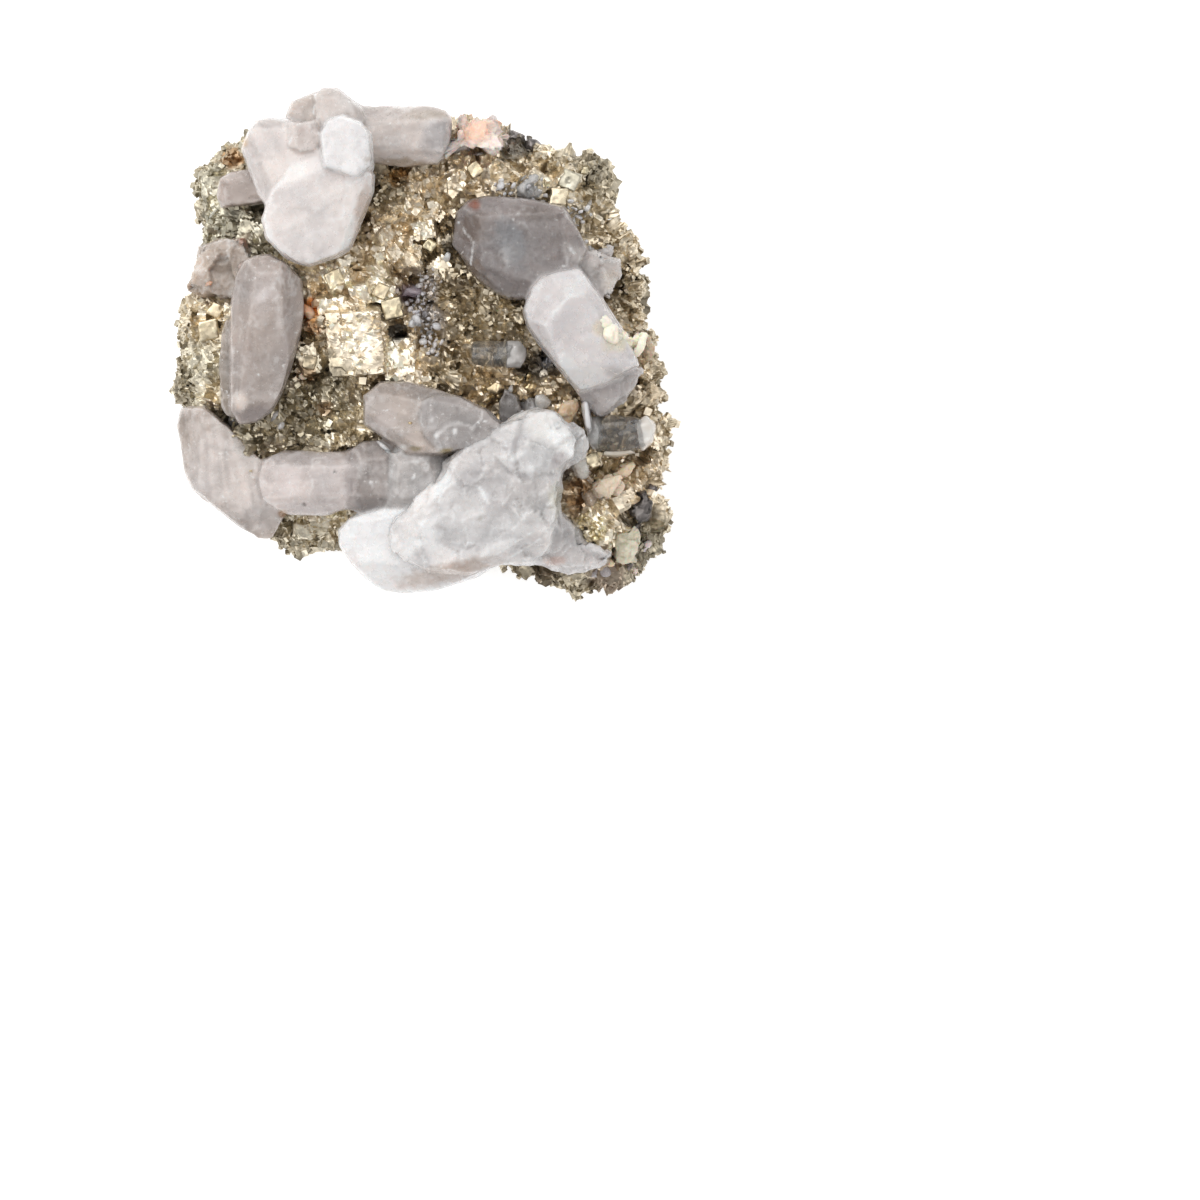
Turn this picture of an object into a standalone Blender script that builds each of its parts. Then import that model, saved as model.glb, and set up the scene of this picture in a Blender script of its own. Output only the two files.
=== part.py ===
# Pyrite with quartz: a hand specimen of massive pyrite with intergrown quartz crystals on top.
# All tables are in millimetres and degrees; objects are made in metres, with +Z up.
# Seen from above, +X is right and +Y is up; the origin is the middle of the box, at the bottom.

import math
import random

import bmesh
import bpy
import numpy as np
from mathutils import Euler, Matrix, Vector

MM = 0.001

# The tables below are drawn at real size: about 72 long in X, 71 in Y and 35 high in Z.

# Space left between a crystal and the rock it sits in.
SOCKET_GAP = 0.32

# Corners of the pyrite outline, seen from above, anticlockwise from the right.
ROCK_RIM = [
    (32.4, 2.0), (31.9, 8.5), (31.0, 12.0), (28.9, 15.0), (26.7, 17.6), (26.5, 19.8),
    (27.3, 22.6), (26.8, 25.3), (24.5, 26.5), (20.2, 27.4), (15.4, 28.6), (12.0, 29.4),
    (8.5, 30.6), (5.8, 31.2), (1.0, 31.0), (-5.6, 31.0), (-11.0, 31.6), (-15.8, 30.2),
    (-20.0, 28.6), (-24.6, 28.0), (-28.8, 26.7), (-32.2, 24.0), (-32.3, 20.0), (-31.8, 14.0),
    (-32.4, 9.5), (-32.3, 7.0), (-34.4, 4.2), (-34.5, 1.8), (-33.6, -1.0), (-34.8, -4.8),
    (-35.8, -6.9), (-33.9, -9.0), (-31.8, -13.0), (-30.2, -18.2), (-27.0, -22.6), (-22.2, -25.6),
    (-20.2, -28.6), (-19.0, -29.8), (-17.2, -30.4), (-13.8, -29.4), (-9.8, -29.2), (-6.6, -31.2),
    (-1.0, -32.6), (5.0, -31.6), (10.0, -31.0), (13.8, -32.4), (17.0, -33.6), (20.0, -35.1),
    (23.2, -34.2), (26.8, -33.6), (30.2, -32.8), (33.4, -30.6), (33.8, -27.2), (34.3, -24.4),
    (33.1, -21.4), (33.9, -18.8), (34.9, -16.4), (35.6, -14.6), (34.8, -12.2), (34.4, -9.6),
    (33.7, -6.4), (33.6, -3.0), (32.2, -0.6),
]

# Height of the pyrite at places on its upper side: x, y, z.
ROCK_HEIGHTS = [
    (-30.0, 21.0, 17.0), (-27.0, 25.5, 18.5), (-30.0, 13.0, 15.5), (-25.0, 16.5, 20.0),
    (-31.0, 2.0, 19.0), (-33.5, -6.5, 15.5), (-29.0, -8.0, 20.0), (-14.0, -10.0, 22.0),
    (-22.0, -13.5, 21.5), (-11.0, -1.0, 24.0), (-12.0, 8.0, 24.0), (-4.0, 14.0, 23.5),
    (2.0, 18.0, 22.0), (0.0, 22.5, 23.5), (8.0, 23.0, 22.5), (16.0, 25.5, 20.5),
    (24.0, 22.5, 19.0), (26.0, 15.5, 19.0), (1.5, 8.5, 18.5), (-2.5, 0.5, 17.0),
    (4.0, 3.0, 20.5), (7.0, -1.5, 20.0), (3.0, -4.5, 21.5), (13.5, -6.5, 19.0),
    (17.0, -3.5, 20.0), (30.0, 5.5, 18.5), (31.0, -6.0, 18.5), (28.0, -17.0, 21.0),
    (24.0, -22.0, 22.0), (24.0, -27.0, 21.0), (31.5, -19.0, 19.0), (31.0, -28.5, 18.0),
    (18.0, -32.5, 12.5), (-16.5, -27.5, 14.0), (-12.0, -27.5, 15.0), (9.0, 27.5, 22.0),
    (-9.0, -14.0, 22.5), (0.0, -28.0, 15.0), (-26.0, -19.0, 14.0), (-14.0, 26.0, 21.0),
    (4.0, -20.0, 20.0), (14.0, 14.0, 20.0), (22.0, 2.0, 20.0), (-21.0, 1.0, 21.0),
    (28.0, -10.5, 20.5), (-12.0, 31.0, 20.5), (-19.0, 29.0, 21.0), (0.0, 30.5, 21.5),
]

# The rock's skin is spread from points on a sphere: its upper side takes the points up to the
# first angle from the pole, its flank those up to the second, its underside the rest.
SKIN_POINTS = 960
UPPER_END = 82
FLANK_END = 122
BRINK_SHARE = 0.95
UNDERSIDE_SHARE = 0.88
FOOT_SHARE = 0.74
UPPER_ROUGHNESS = 0.95
FLANK_ROUGHNESS = 0.75

# The upper side bends down past this share of the way out, by this slope; the flank's height
# falls off with this power; the skin over the listed heights is smoothed over this area.
BEND_SHARE = 0.74
BEND_SLOPE = 12.0
FLANK_POWER = 1.15
HEIGHT_BLUR = 2.0
HEIGHT_FALLOFF = 1.6

# Pyrite cubes placed by hand: x, y of the middle, top z, three sides, turn and tilt.
NOTED_CUBES = [
    (-9.2, -0.4, 25.6, (7.8, 9.2, 6.0), 4, 3),
    (-10.6, 3.4, 24.6, (5.4, 4.6, 5.0), -14, 9),
    (-2.9, -2.6, 23.2, (4.3, 6.2, 5.0), -3, -6),
    (-4.0, 4.4, 26.2, (3.2, 3.2, 3.4), 17, 13),
    (-5.6, 6.8, 25.0, (3.7, 3.2, 3.6), -24, 10),
    (-11.9, 9.1, 25.2, (3.4, 3.6, 3.2), 31, -14),
    (-8.6, 6.2, 24.6, (2.9, 3.3, 3.0), 12, 17),
    (-13.0, 4.9, 24.4, (3.0, 2.4, 2.6), 5, 4),
    (-15.6, -2.6, 22.8, (3.2, 4.2, 3.0), 21, -11),
    (20.7, 22.5, 22.4, (2.9, 2.7, 3.0), 38, 8),
    (19.3, 20.2, 22.8, (2.4, 3.0, 2.8), -16, -12),
    (23.8, -16.8, 23.0, (2.6, 3.0, 2.8), 25, 10),
    (22.4, -25.0, 23.0, (2.2, 2.2, 2.4), 12, 16),
    (24.6, -25.2, 23.4, (2.4, 2.0, 2.4), 52, -12),
    (23.4, -27.4, 23.1, (2.5, 2.3, 2.4), 33, 9),
    (25.4, -27.6, 22.6, (2.0, 2.2, 2.2), 8, -18),
    (9.9, -7.0, 22.4, (2.3, 2.1, 2.4), 28, 14),
    (15.0, -6.3, 20.8, (1.9, 1.8, 2.0), 45, -10),
    (-30.2, 1.2, 21.0, (4.2, 3.6, 3.6), 14, 12),
    (-28.6, 4.2, 20.6, (3.2, 2.8, 3.0), -32, -8),
    (-32.6, 1.8, 18.4, (3.0, 3.4, 3.6), 40, 15),
    (-29.4, -7.2, 20.8, (3.4, 2.8, 3.0), 22, -13),
    (-33.6, -6.6, 16.8, (3.8, 3.8, 5.0), 45, 6),
    (33.6, -14.8, 17.4, (3.6, 3.2, 4.0), 30, -8),
    (0.4, 15.4, 23.6, (3.2, 2.8, 3.0), 12, 12),
    (4.6, 21.6, 24.2, (3.0, 2.6, 2.8), 50, -9),
    (-17.6, -28.0, 15.6, (3.2, 2.8, 3.4), 24, 14),
    (-11.6, -28.0, 15.8, (4.2, 2.6, 3.2), 5, -7),
]

# Seeded smaller cubes: how many on the upper side and on the flank, and their sides.
UPPER_CUBES = 62
FLANK_CUBES = 50
CUBE_SIDES = (2.0, 4.6)
CUBE_SEED = 41

# Every crystal: its outline seen from above, the middle, the height of its top face and of its
# foot, which way and how far the top face dips, and its bevels as direction, distance from the
# middle and slope.
UPPER_LEFT_QUARTZ = {
    "blunt_front": {
        "rim": [(-22.3, 16.7), (-21.7, 14.1), (-19.2, 11.6), (-16.9, 10.4), (-15.3, 10.1), (-11.3, 11.5),
                (-9.4, 12.7), (-8.1, 16.1), (-6.4, 20.0), (-6.2, 23.1), (-10.6, 26.7), (-16.9, 26.0),
                (-20.9, 20.9)],
        "middle": (-14.8, 17.2), "top": 33.0, "foot": 19.0, "dip": (250, 6),
        "bevels": [(-22, 5.6, 48), (262, 6.2, 34), (205, 6.2, 30), (118, 5.2, 24)],
    },
    "upper_left": {
        "rim": [(-25.1, 26.7), (-24.4, 28.8), (-23.0, 30.8), (-21.1, 31.2), (-18.1, 30.9), (-14.4, 28.1),
                (-12.7, 23.2), (-16.9, 20.3), (-21.3, 18.1), (-22.8, 20.2), (-24.1, 23.7)],
        "middle": (-19.0, 25.3), "top": 31.0, "foot": 17.0, "dip": (215, 5),
        "bevels": [(203, 3.0, 40), (95, 4.2, 35), (250, 5.0, 30)],
    },
    "small_between": {
        "rim": [(-18.6, 29.8), (-17.5, 30.8), (-14.4, 30.5), (-13.0, 28.7), (-13.6, 25.8), (-16.1, 25.3),
                (-18.5, 26.7)],
        "middle": (-16.0, 28.1), "top": 32.0, "foot": 19.0, "dip": (20, 5),
        "bevels": [(180, 1.3, 38), (85, 1.6, 40)],
    },
    "bright_end": {
        "rim": [(-14.4, 28.1), (-11.8, 31.1), (-10.5, 31.4), (-8.7, 30.7), (-7.0, 28.7), (-6.3, 25.6),
                (-6.4, 23.9), (-9.0, 22.0), (-10.5, 22.0), (-12.3, 23.0), (-14.0, 23.8)],
        "middle": (-10.4, 26.9), "top": 34.5, "foot": 20.0, "dip": (200, 2),
        "bevels": [(-8, 3.4, 54), (268, 4.0, 40), (75, 3.6, 42), (150, 3.3, 22)],
    },
    "top_left": {
        "rim": [(-19.0, 31.1), (-18.2, 33.5), (-17.1, 34.0), (-14.4, 34.9), (-13.4, 34.3), (-13.3, 30.7),
                (-15.5, 28.7), (-18.3, 29.1)],
        "middle": (-16.4, 31.8), "top": 26.5, "foot": 15.0, "dip": (150, 9),
        "bevels": [(120, 1.6, 40), (235, 1.5, 30)],
    },
    "top": {
        "rim": [(-15.0, 34.2), (-13.7, 35.4), (-11.2, 35.4), (-9.7, 34.0), (-8.1, 32.8), (-7.4, 30.7),
                (-8.8, 27.4), (-12.7, 27.4), (-15.0, 31.2)],
        "middle": (-11.6, 31.8), "top": 28.5, "foot": 16.0, "dip": (75, 8),
        "bevels": [(95, 2.2, 42), (25, 2.4, 45), (160, 2.4, 38)],
    },
    "long_top": {
        "rim": [(-9.2, 32.8), (1.3, 32.8), (3.6, 32.2), (4.5, 30.9), (4.3, 28.1), (3.5, 25.6),
                (2.4, 24.5), (-2.9, 24.1), (-6.9, 24.9), (-9.7, 27.0)],
        "middle": (-2.2, 28.4), "top": 27.0, "foot": 17.0, "dip": (0, 4),
        "bevels": [(92, 2.0, 46), (268, 1.6, 44), (0, 5.3, 50)],
    },
    "tabular": {
        "rim": [(-28.3, 22.8), (-26.7, 23.7), (-23.9, 24.2), (-21.4, 21.8), (-21.4, 19.2), (-25.3, 18.8),
                (-28.0, 18.5), (-28.7, 20.3)],
        "middle": (-25.6, 21.4), "top": 22.0, "foot": 15.0, "dip": (195, 9),
        "bevels": [(105, 1.5, 40), (190, 2.0, 45)],
    },
}

LEFT_QUARTZ = {
    "left_long": {
        "rim": [(-26.6, 5.7), (-26.0, 9.2), (-24.9, 11.1), (-23.2, 12.0), (-21.1, 12.2), (-18.6, 10.8),
                (-16.5, 8.5), (-16.2, 4.3), (-16.8, 0.1), (-17.9, -3.4), (-18.9, -6.9), (-20.9, -10.1),
                (-23.2, -11.6), (-25.3, -11.6), (-26.6, -9.7)],
        "middle": (-21.7, 0.8), "top": 28.0, "foot": 17.0, "dip": (272, 5),
        "bevels": [(178, 2.4, 40), (2, 2.9, 46), (88, 8.6, 34), (268, 9.5, 30)],
    },
    "left_rough": {
        "rim": [(-32.3, 9.2), (-31.8, 11.1), (-30.9, 13.4), (-27.9, 14.7), (-24.5, 14.1), (-23.1, 11.1),
                (-24.2, 6.9), (-27.9, 6.0), (-30.9, 6.3), (-32.6, 7.4)],
        "middle": (-27.9, 10.2), "top": 20.5, "foot": 12.0, "dip": (200, 10),
        "bevels": [(120, 3.0, 30), (250, 2.6, 34)],
    },
    "left_strip": {
        "rim": [(-28.0, 1.5), (-27.3, 3.2), (-25.9, 2.7), (-25.6, -5.5), (-25.9, -11.0), (-27.2, -10.4),
                (-28.0, -9.2), (-28.3, -4.1)],
        "middle": (-26.9, -4.8), "top": 23.5, "foot": 17.0, "dip": (180, 12),
        "bevels": [(270, 5.2, 35)],
    },
}

LOWER_QUARTZ = {
    "end_left": {
        "rim": [(-33.7, -9.0), (-34.4, -11.8), (-34.0, -14.6), (-33.2, -18.5), (-32.1, -21.1),
                (-30.0, -23.0), (-27.6, -24.6), (-25.3, -26.5), (-23.1, -27.7), (-20.9, -27.9),
                (-18.8, -23.9), (-19.7, -19.7), (-22.3, -16.2), (-25.6, -12.7), (-30.2, -9.0)],
        "middle": (-26.5, -18.8), "top": 19.5, "foot": 9.0, "dip": (235, 9),
        "bevels": [(188, 4.6, 40), (238, 4.4, 46), (285, 5.4, 40)],
    },
    "left_bar": {
        "rim": [(-22.3, -22.3), (-23.0, -19.2), (-22.1, -16.4), (-19.5, -15.3), (-14.1, -15.1),
                (-9.1, -15.7), (-8.8, -23.1), (-12.7, -24.4), (-18.3, -24.5), (-20.4, -23.7)],
        "middle": (-15.8, -19.7), "top": 24.0, "foot": 13.0, "dip": (245, 5),
        "bevels": [(92, 2.2, 42), (268, 2.4, 46), (172, 4.6, 34)],
    },
    "step_dark": {
        "rim": [(-10.5, -15.5), (-8.3, -14.0), (-5.0, -13.6), (-2.7, -15.5), (-2.7, -23.4), (-8.5, -24.1),
                (-10.4, -23.4)],
        "middle": (-6.9, -19.2), "top": 25.0, "foot": 14.0, "dip": (255, 8),
        "bevels": [(0, 2.2, 50), (95, 2.6, 36), (265, 2.6, 46), (175, 1.9, 42)],
    },
    "step_light": {
        "rim": [(-4.3, -15.5), (-0.1, -15.0), (4.1, -16.0), (5.5, -19.5), (2.7, -23.0), (-1.5, -24.4),
                (-5.0, -23.4)],
        "middle": (-0.8, -19.7), "top": 26.0, "foot": 14.0, "dip": (255, 7),
        "bevels": [(10, 2.6, 45), (100, 2.8, 34), (262, 2.4, 40), (180, 2.6, 48)],
    },
    "upper_pink": {
        "rim": [(-8.0, -11.8), (-8.1, -7.6), (-5.7, -5.7), (-1.5, -5.7), (3.4, -7.1), (6.9, -9.7),
                (6.9, -14.6), (2.7, -16.2), (-1.8, -16.0), (-5.0, -13.9)],
        "middle": (-2.2, -10.4), "top": 28.5, "foot": 17.0, "dip": (205, 6),
        "bevels": [(233, 2.7, 44), (85, 2.3, 42), (165, 4.4, 30)],
    },
    "upper_grey": {
        "rim": [(-0.4, -10.4), (0.3, -8.3), (2.0, -7.4), (5.5, -7.7), (9.7, -9.7), (12.2, -12.2),
                (10.4, -14.6), (6.2, -15.7), (2.7, -15.7), (0.4, -13.3)],
        "middle": (4.8, -11.1), "top": 30.0, "foot": 18.0, "dip": (185, 5),
        "bevels": [(85, 2.0, 38), (240, 3.2, 34), (172, 3.8, 34)],
    },
    "white_body": {
        "rim": [(-2.9, -30.5), (-4.2, -28.7), (-4.3, -26.2), (-3.5, -24.5), (0.6, -20.6), (5.7, -15.5),
                (11.1, -12.0), (16.0, -9.9), (18.3, -10.5), (20.6, -12.6), (22.1, -15.3), (22.5, -20.9),
                (22.1, -27.9), (19.7, -30.7), (11.1, -31.8), (6.2, -32.8), (0.6, -32.1)],
        "middle": (9.7, -22.3), "top": 30.0, "foot": 13.0, "dip": (228, 4),
        "bevels": [(135, 5.2, 36), (285, 6.6, 36), (215, 10.2, 26), (25, 8.0, 30), (60, 9.4, 26)],
    },
    "white_upper": {
        "rim": [(11.1, -12.7), (13.6, -10.9), (16.0, -10.1), (18.1, -10.5), (20.3, -12.7), (21.8, -14.6),
                (22.0, -16.9), (17.8, -19.5), (13.2, -18.8), (10.8, -16.0)],
        "middle": (16.2, -15.0), "top": 31.5, "foot": 20.0, "dip": (60, 7),
        "bevels": [(160, 3.4, 34), (290, 2.6, 30), (235, 3.0, 24)],
    },
    "bottom_bright": {
        "rim": [(-11.6, -28.6), (-11.8, -26.5), (-10.2, -24.6), (-6.4, -23.4), (-1.5, -22.8), (4.1, -23.0),
                (12.5, -25.1), (12.7, -29.8), (8.0, -33.2), (2.0, -35.1), (-2.9, -35.4), (-5.3, -35.0),
                (-7.7, -33.5), (-10.1, -30.9)],
        "middle": (-3.6, -27.9), "top": 24.5, "foot": 10.5, "dip": (225, 6),
        "bevels": [(262, 3.6, 52), (110, 3.4, 30), (190, 4.4, 30)],
    },
    "dark_wedge": {
        "rim": [(10.8, -8.5), (11.8, -6.0), (13.2, -5.9), (13.7, -7.7), (15.5, -8.8), (15.3, -11.3),
                (12.7, -12.5), (10.8, -11.6)],
        "middle": (13.0, -9.4), "top": 22.5, "foot": 16.0, "dip": (265, 8),
        "bevels": [(180, 1.2, 40), (0, 1.4, 40)],
    },
}

RIGHT_QUARTZ = {
    "smoky": {
        "rim": [(4.3, 13.4), (4.9, 18.1), (6.6, 19.7), (9.0, 20.4), (11.8, 20.2), (17.4, 19.5), (20.3, 18.8),
                (22.3, 15.3), (23.7, 12.7), (21.6, 9.2), (17.4, 6.0), (13.2, 5.7), (10.4, 7.4), (7.1, 9.9)],
        "middle": (13.9, 14.1), "top": 27.0, "foot": 16.0, "dip": (240, 6),
        "bevels": [(98, 3.4, 38), (250, 5.4, 36), (190, 5.6, 34), (0, 6.6, 30)],
    },
    "smoky_low": {
        "rim": [(6.3, 10.5), (6.3, 13.6), (8.8, 14.7), (11.6, 12.7), (13.2, 7.8), (12.5, 5.6), (9.7, 7.0),
                (7.7, 8.5)],
        "middle": (9.4, 10.5), "top": 25.0, "foot": 17.0, "dip": (225, 14),
        "bevels": [(215, 1.8, 30)],
    },
    "right_white": {
        "rim": [(14.1, 4.1), (15.3, 7.4), (16.7, 9.0), (19.5, 9.9), (22.3, 10.2), (23.9, 8.5), (26.2, 4.9),
                (28.6, 1.3), (30.2, -2.0), (30.8, -4.3), (29.3, -5.3), (25.8, -6.3), (22.8, -8.0),
                (20.6, -5.9), (18.1, -2.9), (16.0, -0.1), (14.7, 1.8)],
        "middle": (22.0, 1.5), "top": 31.5, "foot": 15.0, "dip": (310, 9),
        "bevels": [(138, 4.4, 34), (95, 4.8, 40), (25, 3.4, 44), (212, 4.2, 44), (285, 5.6, 30)],
    },
    "behind_grey": {
        "rim": [(17.8, 10.2), (18.9, 12.2), (21.6, 13.0), (25.1, 12.2), (27.9, 11.6), (28.4, 9.2),
                (26.7, 5.7), (23.0, 6.3), (18.9, 7.8)],
        "middle": (23.4, 9.7), "top": 25.0, "foot": 15.0, "dip": (80, 8),
        "bevels": [(110, 1.8, 42), (20, 2.6, 45)],
    },
}

SMALL_CLEAR_QUARTZ = {
    "small_clear": {
        "rim": [(6.9, -0.6), (7.4, 0.0), (12.5, 0.1), (14.0, -0.1), (14.8, -1.3), (14.7, -2.7), (13.9, -3.8),
                (11.8, -3.8), (7.4, -3.5), (6.9, -2.8)],
        "middle": (10.6, -1.8), "top": 23.5, "foot": 18.0, "dip": (0, 3),
        "bevels": [(90, 0.9, 50), (270, 0.9, 50), (0, 2.2, 40), (180, 3.4, 50)],
    },
}

EDGE_CLEAR_QUARTZ = {
    "edge_clear": {
        "rim": [(22.9, -11.8), (23.9, -10.5), (26.5, -10.2), (30.1, -10.5), (32.3, -11.8), (32.6, -13.4),
                (31.4, -15.1), (27.9, -15.7), (24.6, -15.5), (23.2, -14.3)],
        "middle": (27.3, -12.9), "top": 22.0, "foot": 15.0, "dip": (0, 4),
        "bevels": [(90, 1.5, 46), (270, 1.4, 46), (0, 3.2, 40), (180, 3.2, 40)],
    },
    "thin": {
        "rim": [(22.3, -9.2), (22.8, -8.5), (23.5, -8.7), (24.0, -12.2), (23.6, -13.1), (22.9, -12.2)],
        "middle": (23.2, -10.6), "top": 23.5, "foot": 16.0, "dip": (90, 5),
        "bevels": [(0, 0.5, 50), (180, 0.5, 45), (80, 1.4, 45)],
    },
}

# Small lumps of carbonate, quartz and lead ore, each a piece of its own on the pyrite.
LUMPS = {
    "pink_carbonate_patch": {
        "rim": [(5.2, 28.1), (5.0, 30.2), (6.1, 31.2), (8.3, 31.2), (10.5, 30.4), (11.6, 28.7), (10.5, 27.0),
                (7.4, 26.2), (5.8, 26.5)],
        "middle": (7.7, 29.0), "top": 24.0, "foot": 18.5, "dip": (80, 14),
        "bevels": [(100, 1.4, 30), (0, 2.0, 30), (250, 1.6, 30)],
    },
    "cream_carbonate_right": {
        "rim": [(30.4, 0.8), (31.2, 1.4), (32.3, 0.7), (33.0, -1.0), (32.3, -2.9), (31.4, -2.6)],
        "middle": (31.7, -0.6), "top": 18.0, "foot": 13.5, "dip": (0, 12),
        "bevels": [(90, 1.0, 36), (270, 1.0, 36)],
    },
    "cream_carbonate_lower": {
        "rim": [(23.9, -20.6), (25.6, -18.6), (28.1, -18.1), (29.0, -19.7), (27.9, -21.4), (25.3, -21.7)],
        "middle": (26.6, -19.9), "top": 23.4, "foot": 18.5, "dip": (120, 8),
        "bevels": [(0, 1.4, 36), (180, 1.6, 36)],
    },
    "green_carbonate_corner": {
        "rim": [(26.5, -28.6), (27.3, -27.0), (29.3, -26.5), (30.7, -27.9), (30.1, -30.1), (28.1, -30.9),
                (26.7, -30.1)],
        "middle": (28.6, -28.7), "top": 18.6, "foot": 14.0, "dip": (300, 9),
        "bevels": [(100, 1.4, 34), (230, 1.4, 34)],
    },
    "lead_ore_grain": {
        "rim": [(29.8, -21.6), (31.4, -20.7), (32.3, -22.3), (32.1, -24.5), (30.7, -25.6), (29.5, -24.2)],
        "middle": (30.9, -23.1), "top": 17.6, "foot": 13.0, "dip": (350, 10),
        "bevels": [(0, 0.9, 30)],
    },
}

CRYSTAL_GROUPS = (UPPER_LEFT_QUARTZ, LEFT_QUARTZ, LOWER_QUARTZ, RIGHT_QUARTZ, SMALL_CLEAR_QUARTZ,
                  EDGE_CLEAR_QUARTZ, LUMPS)

# Lean of a crystal's sides above and below its widest level, which lies this share of its
# height under the top.
LEAN_ABOVE = 5
LEAN_BELOW = 22
WAIST_SHARE = 0.4

# Colour, roughness and metallic value of each material.
PYRITE = ((0.46, 0.40, 0.26), 0.32, 1.0)
WHITE_QUARTZ = ((0.80, 0.76, 0.74), 0.28, 0.0)
SMOKY_QUARTZ = ((0.46, 0.41, 0.38), 0.25, 0.0)
CLEAR_QUARTZ = ((0.62, 0.62, 0.60), 0.10, 0.0)
PINK_CARBONATE = ((0.86, 0.66, 0.55), 0.55, 0.0)
CREAM_CARBONATE = ((0.84, 0.74, 0.56), 0.55, 0.0)
LEAD_ORE = ((0.14, 0.14, 0.15), 0.35, 0.8)


def clear_scene():
    for obj in list(bpy.data.objects):
        bpy.data.objects.remove(obj, do_unlink=True)


def make_material(name, look):
    colour, roughness, metallic = look
    material = bpy.data.materials.new(name)
    material.use_nodes = True
    shader = material.node_tree.nodes["Principled BSDF"]
    shader.inputs["Base Color"].default_value = (*colour, 1.0)
    shader.inputs["Roughness"].default_value = roughness
    shader.inputs["Metallic"].default_value = metallic
    material.diffuse_color = (*colour, 1.0)
    return material


def add_object(name, bm, helper=False):
    """Put a bmesh drawn in millimetres into the scene, in metres."""
    bmesh.ops.scale(bm, vec=(MM, MM, MM), verts=bm.verts)
    mesh = bpy.data.meshes.new(name)
    bm.to_mesh(mesh)
    bm.free()
    obj = bpy.data.objects.new(name, mesh)
    bpy.context.scene.collection.objects.link(obj)
    if helper:
        obj.hide_render = True
        obj.display_type = "WIRE"
    return obj


# Planes of a crystal: a point and an outward normal for each face.
def side_planes(form):
    rim = [Vector((x, y, 0.0)) for x, y in form["rim"]]
    turn = sum(a.x * b.y - b.x * a.y for a, b in zip(rim, rim[1:] + rim[:1]))
    if turn < 0:
        rim.reverse()
    waist = form["top"] - WAIST_SHARE * (form["top"] - form["foot"])
    planes = []
    for a, b in zip(rim, rim[1:] + rim[:1]):
        along = (b - a).normalized()
        outward = Vector((along.y, -along.x, 0.0))
        point = Vector((a.x, a.y, waist))
        for lean, up in ((LEAN_ABOVE, 1.0), (LEAN_BELOW, -1.0)):
            lean = math.radians(lean)
            planes.append((point, outward * math.cos(lean) + Vector((0, 0, up)) * math.sin(lean)))
    return planes


def sloped(direction, slope):
    direction = math.radians(direction)
    slope = math.radians(slope)
    flat = math.sin(slope)
    return Vector((flat * math.cos(direction), flat * math.sin(direction), math.cos(slope)))


def top_planes(form):
    middle = Vector((*form["middle"], form["top"]))
    top_normal = sloped(*form["dip"])
    planes = [(middle, top_normal)]
    for direction, distance, slope in form["bevels"]:
        angle = math.radians(direction)
        step = Vector((math.cos(angle), math.sin(angle), 0.0)) * distance
        step.z = -(top_normal.x * step.x + top_normal.y * step.y) / top_normal.z
        planes.append((middle + step, sloped(direction, slope)))
    return planes


def crystal_bmesh(form, grow=0.0):
    """Cut a block by every face plane of the crystal; grow moves the planes outward."""
    foot = (Vector((*form["middle"], form["foot"])), Vector((0.0, 0.0, -1.0)))
    bm = bmesh.new()
    bmesh.ops.create_cube(bm, size=120.0)
    bmesh.ops.translate(bm, vec=Vector((*form["middle"], form["top"])), verts=bm.verts)
    for point, normal in side_planes(form) + top_planes(form) + [foot]:
        geometry = bm.verts[:] + bm.edges[:] + bm.faces[:]
        bmesh.ops.bisect_plane(bm, geom=geometry, dist=1e-5, plane_co=point + normal * grow,
                               plane_no=normal, clear_outer=True)
        cut_edges = [edge for edge in bm.edges if edge.is_boundary]
        if cut_edges:
            bmesh.ops.edgeloop_fill(bm, edges=cut_edges)
    bmesh.ops.remove_doubles(bm, verts=bm.verts, dist=0.02)
    bmesh.ops.dissolve_degenerate(bm, dist=0.02, edges=bm.edges)
    bmesh.ops.recalc_face_normals(bm, faces=bm.faces)
    return bm


def joined(parts):
    """One bmesh that holds all the given ones."""
    whole = bmesh.new()
    for part in parts:
        mesh = bpy.data.meshes.new("part")
        part.to_mesh(mesh)
        part.free()
        whole.from_mesh(mesh)
        bpy.data.meshes.remove(mesh)
    return whole


def add_boolean(obj, operation, other):
    boolean = obj.modifiers.new(operation.lower(), "BOOLEAN")
    boolean.operation = operation
    boolean.solver = "EXACT"
    boolean.object = other
    boolean.use_self = True
    return boolean


def add_cluster(name, forms, material):
    """A group of crystals grown into each other, as one solid."""
    shapes = [crystal_bmesh(form) for form in forms.values()]
    cluster = add_object(name, shapes[0])
    if len(shapes) > 1:
        others = add_object(name + "_crystals", joined(shapes[1:]), helper=True)
        add_boolean(cluster, "UNION", others)
    cluster.data.materials.append(material)
    return cluster


# The rock's height is the mean of the listed heights, weighted by nearness.
def rock_height(x, y):
    spots = np.array(ROCK_HEIGHTS)
    nearness = ((spots[:, 0] - x) ** 2 + (spots[:, 1] - y) ** 2 + HEIGHT_BLUR) ** -HEIGHT_FALLOFF
    return float((nearness * spots[:, 2]).sum() / nearness.sum())


def edge_drop(share):
    """How far the upper side bends down near the rim."""
    return BEND_SLOPE * max(0.0, share - BEND_SHARE)


def rim_radius(angle):
    """Distance from the middle to the rock's outline at an angle."""
    corners = sorted((math.atan2(y, x) % math.tau, math.hypot(x, y)) for x, y in ROCK_RIM)
    angles = [corners[-1][0] - math.tau] + [a for a, r in corners] + [corners[0][0] + math.tau]
    radii = [corners[-1][1]] + [r for a, r in corners] + [corners[0][1]]
    return float(np.interp(angle % math.tau, angles, radii))


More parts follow.
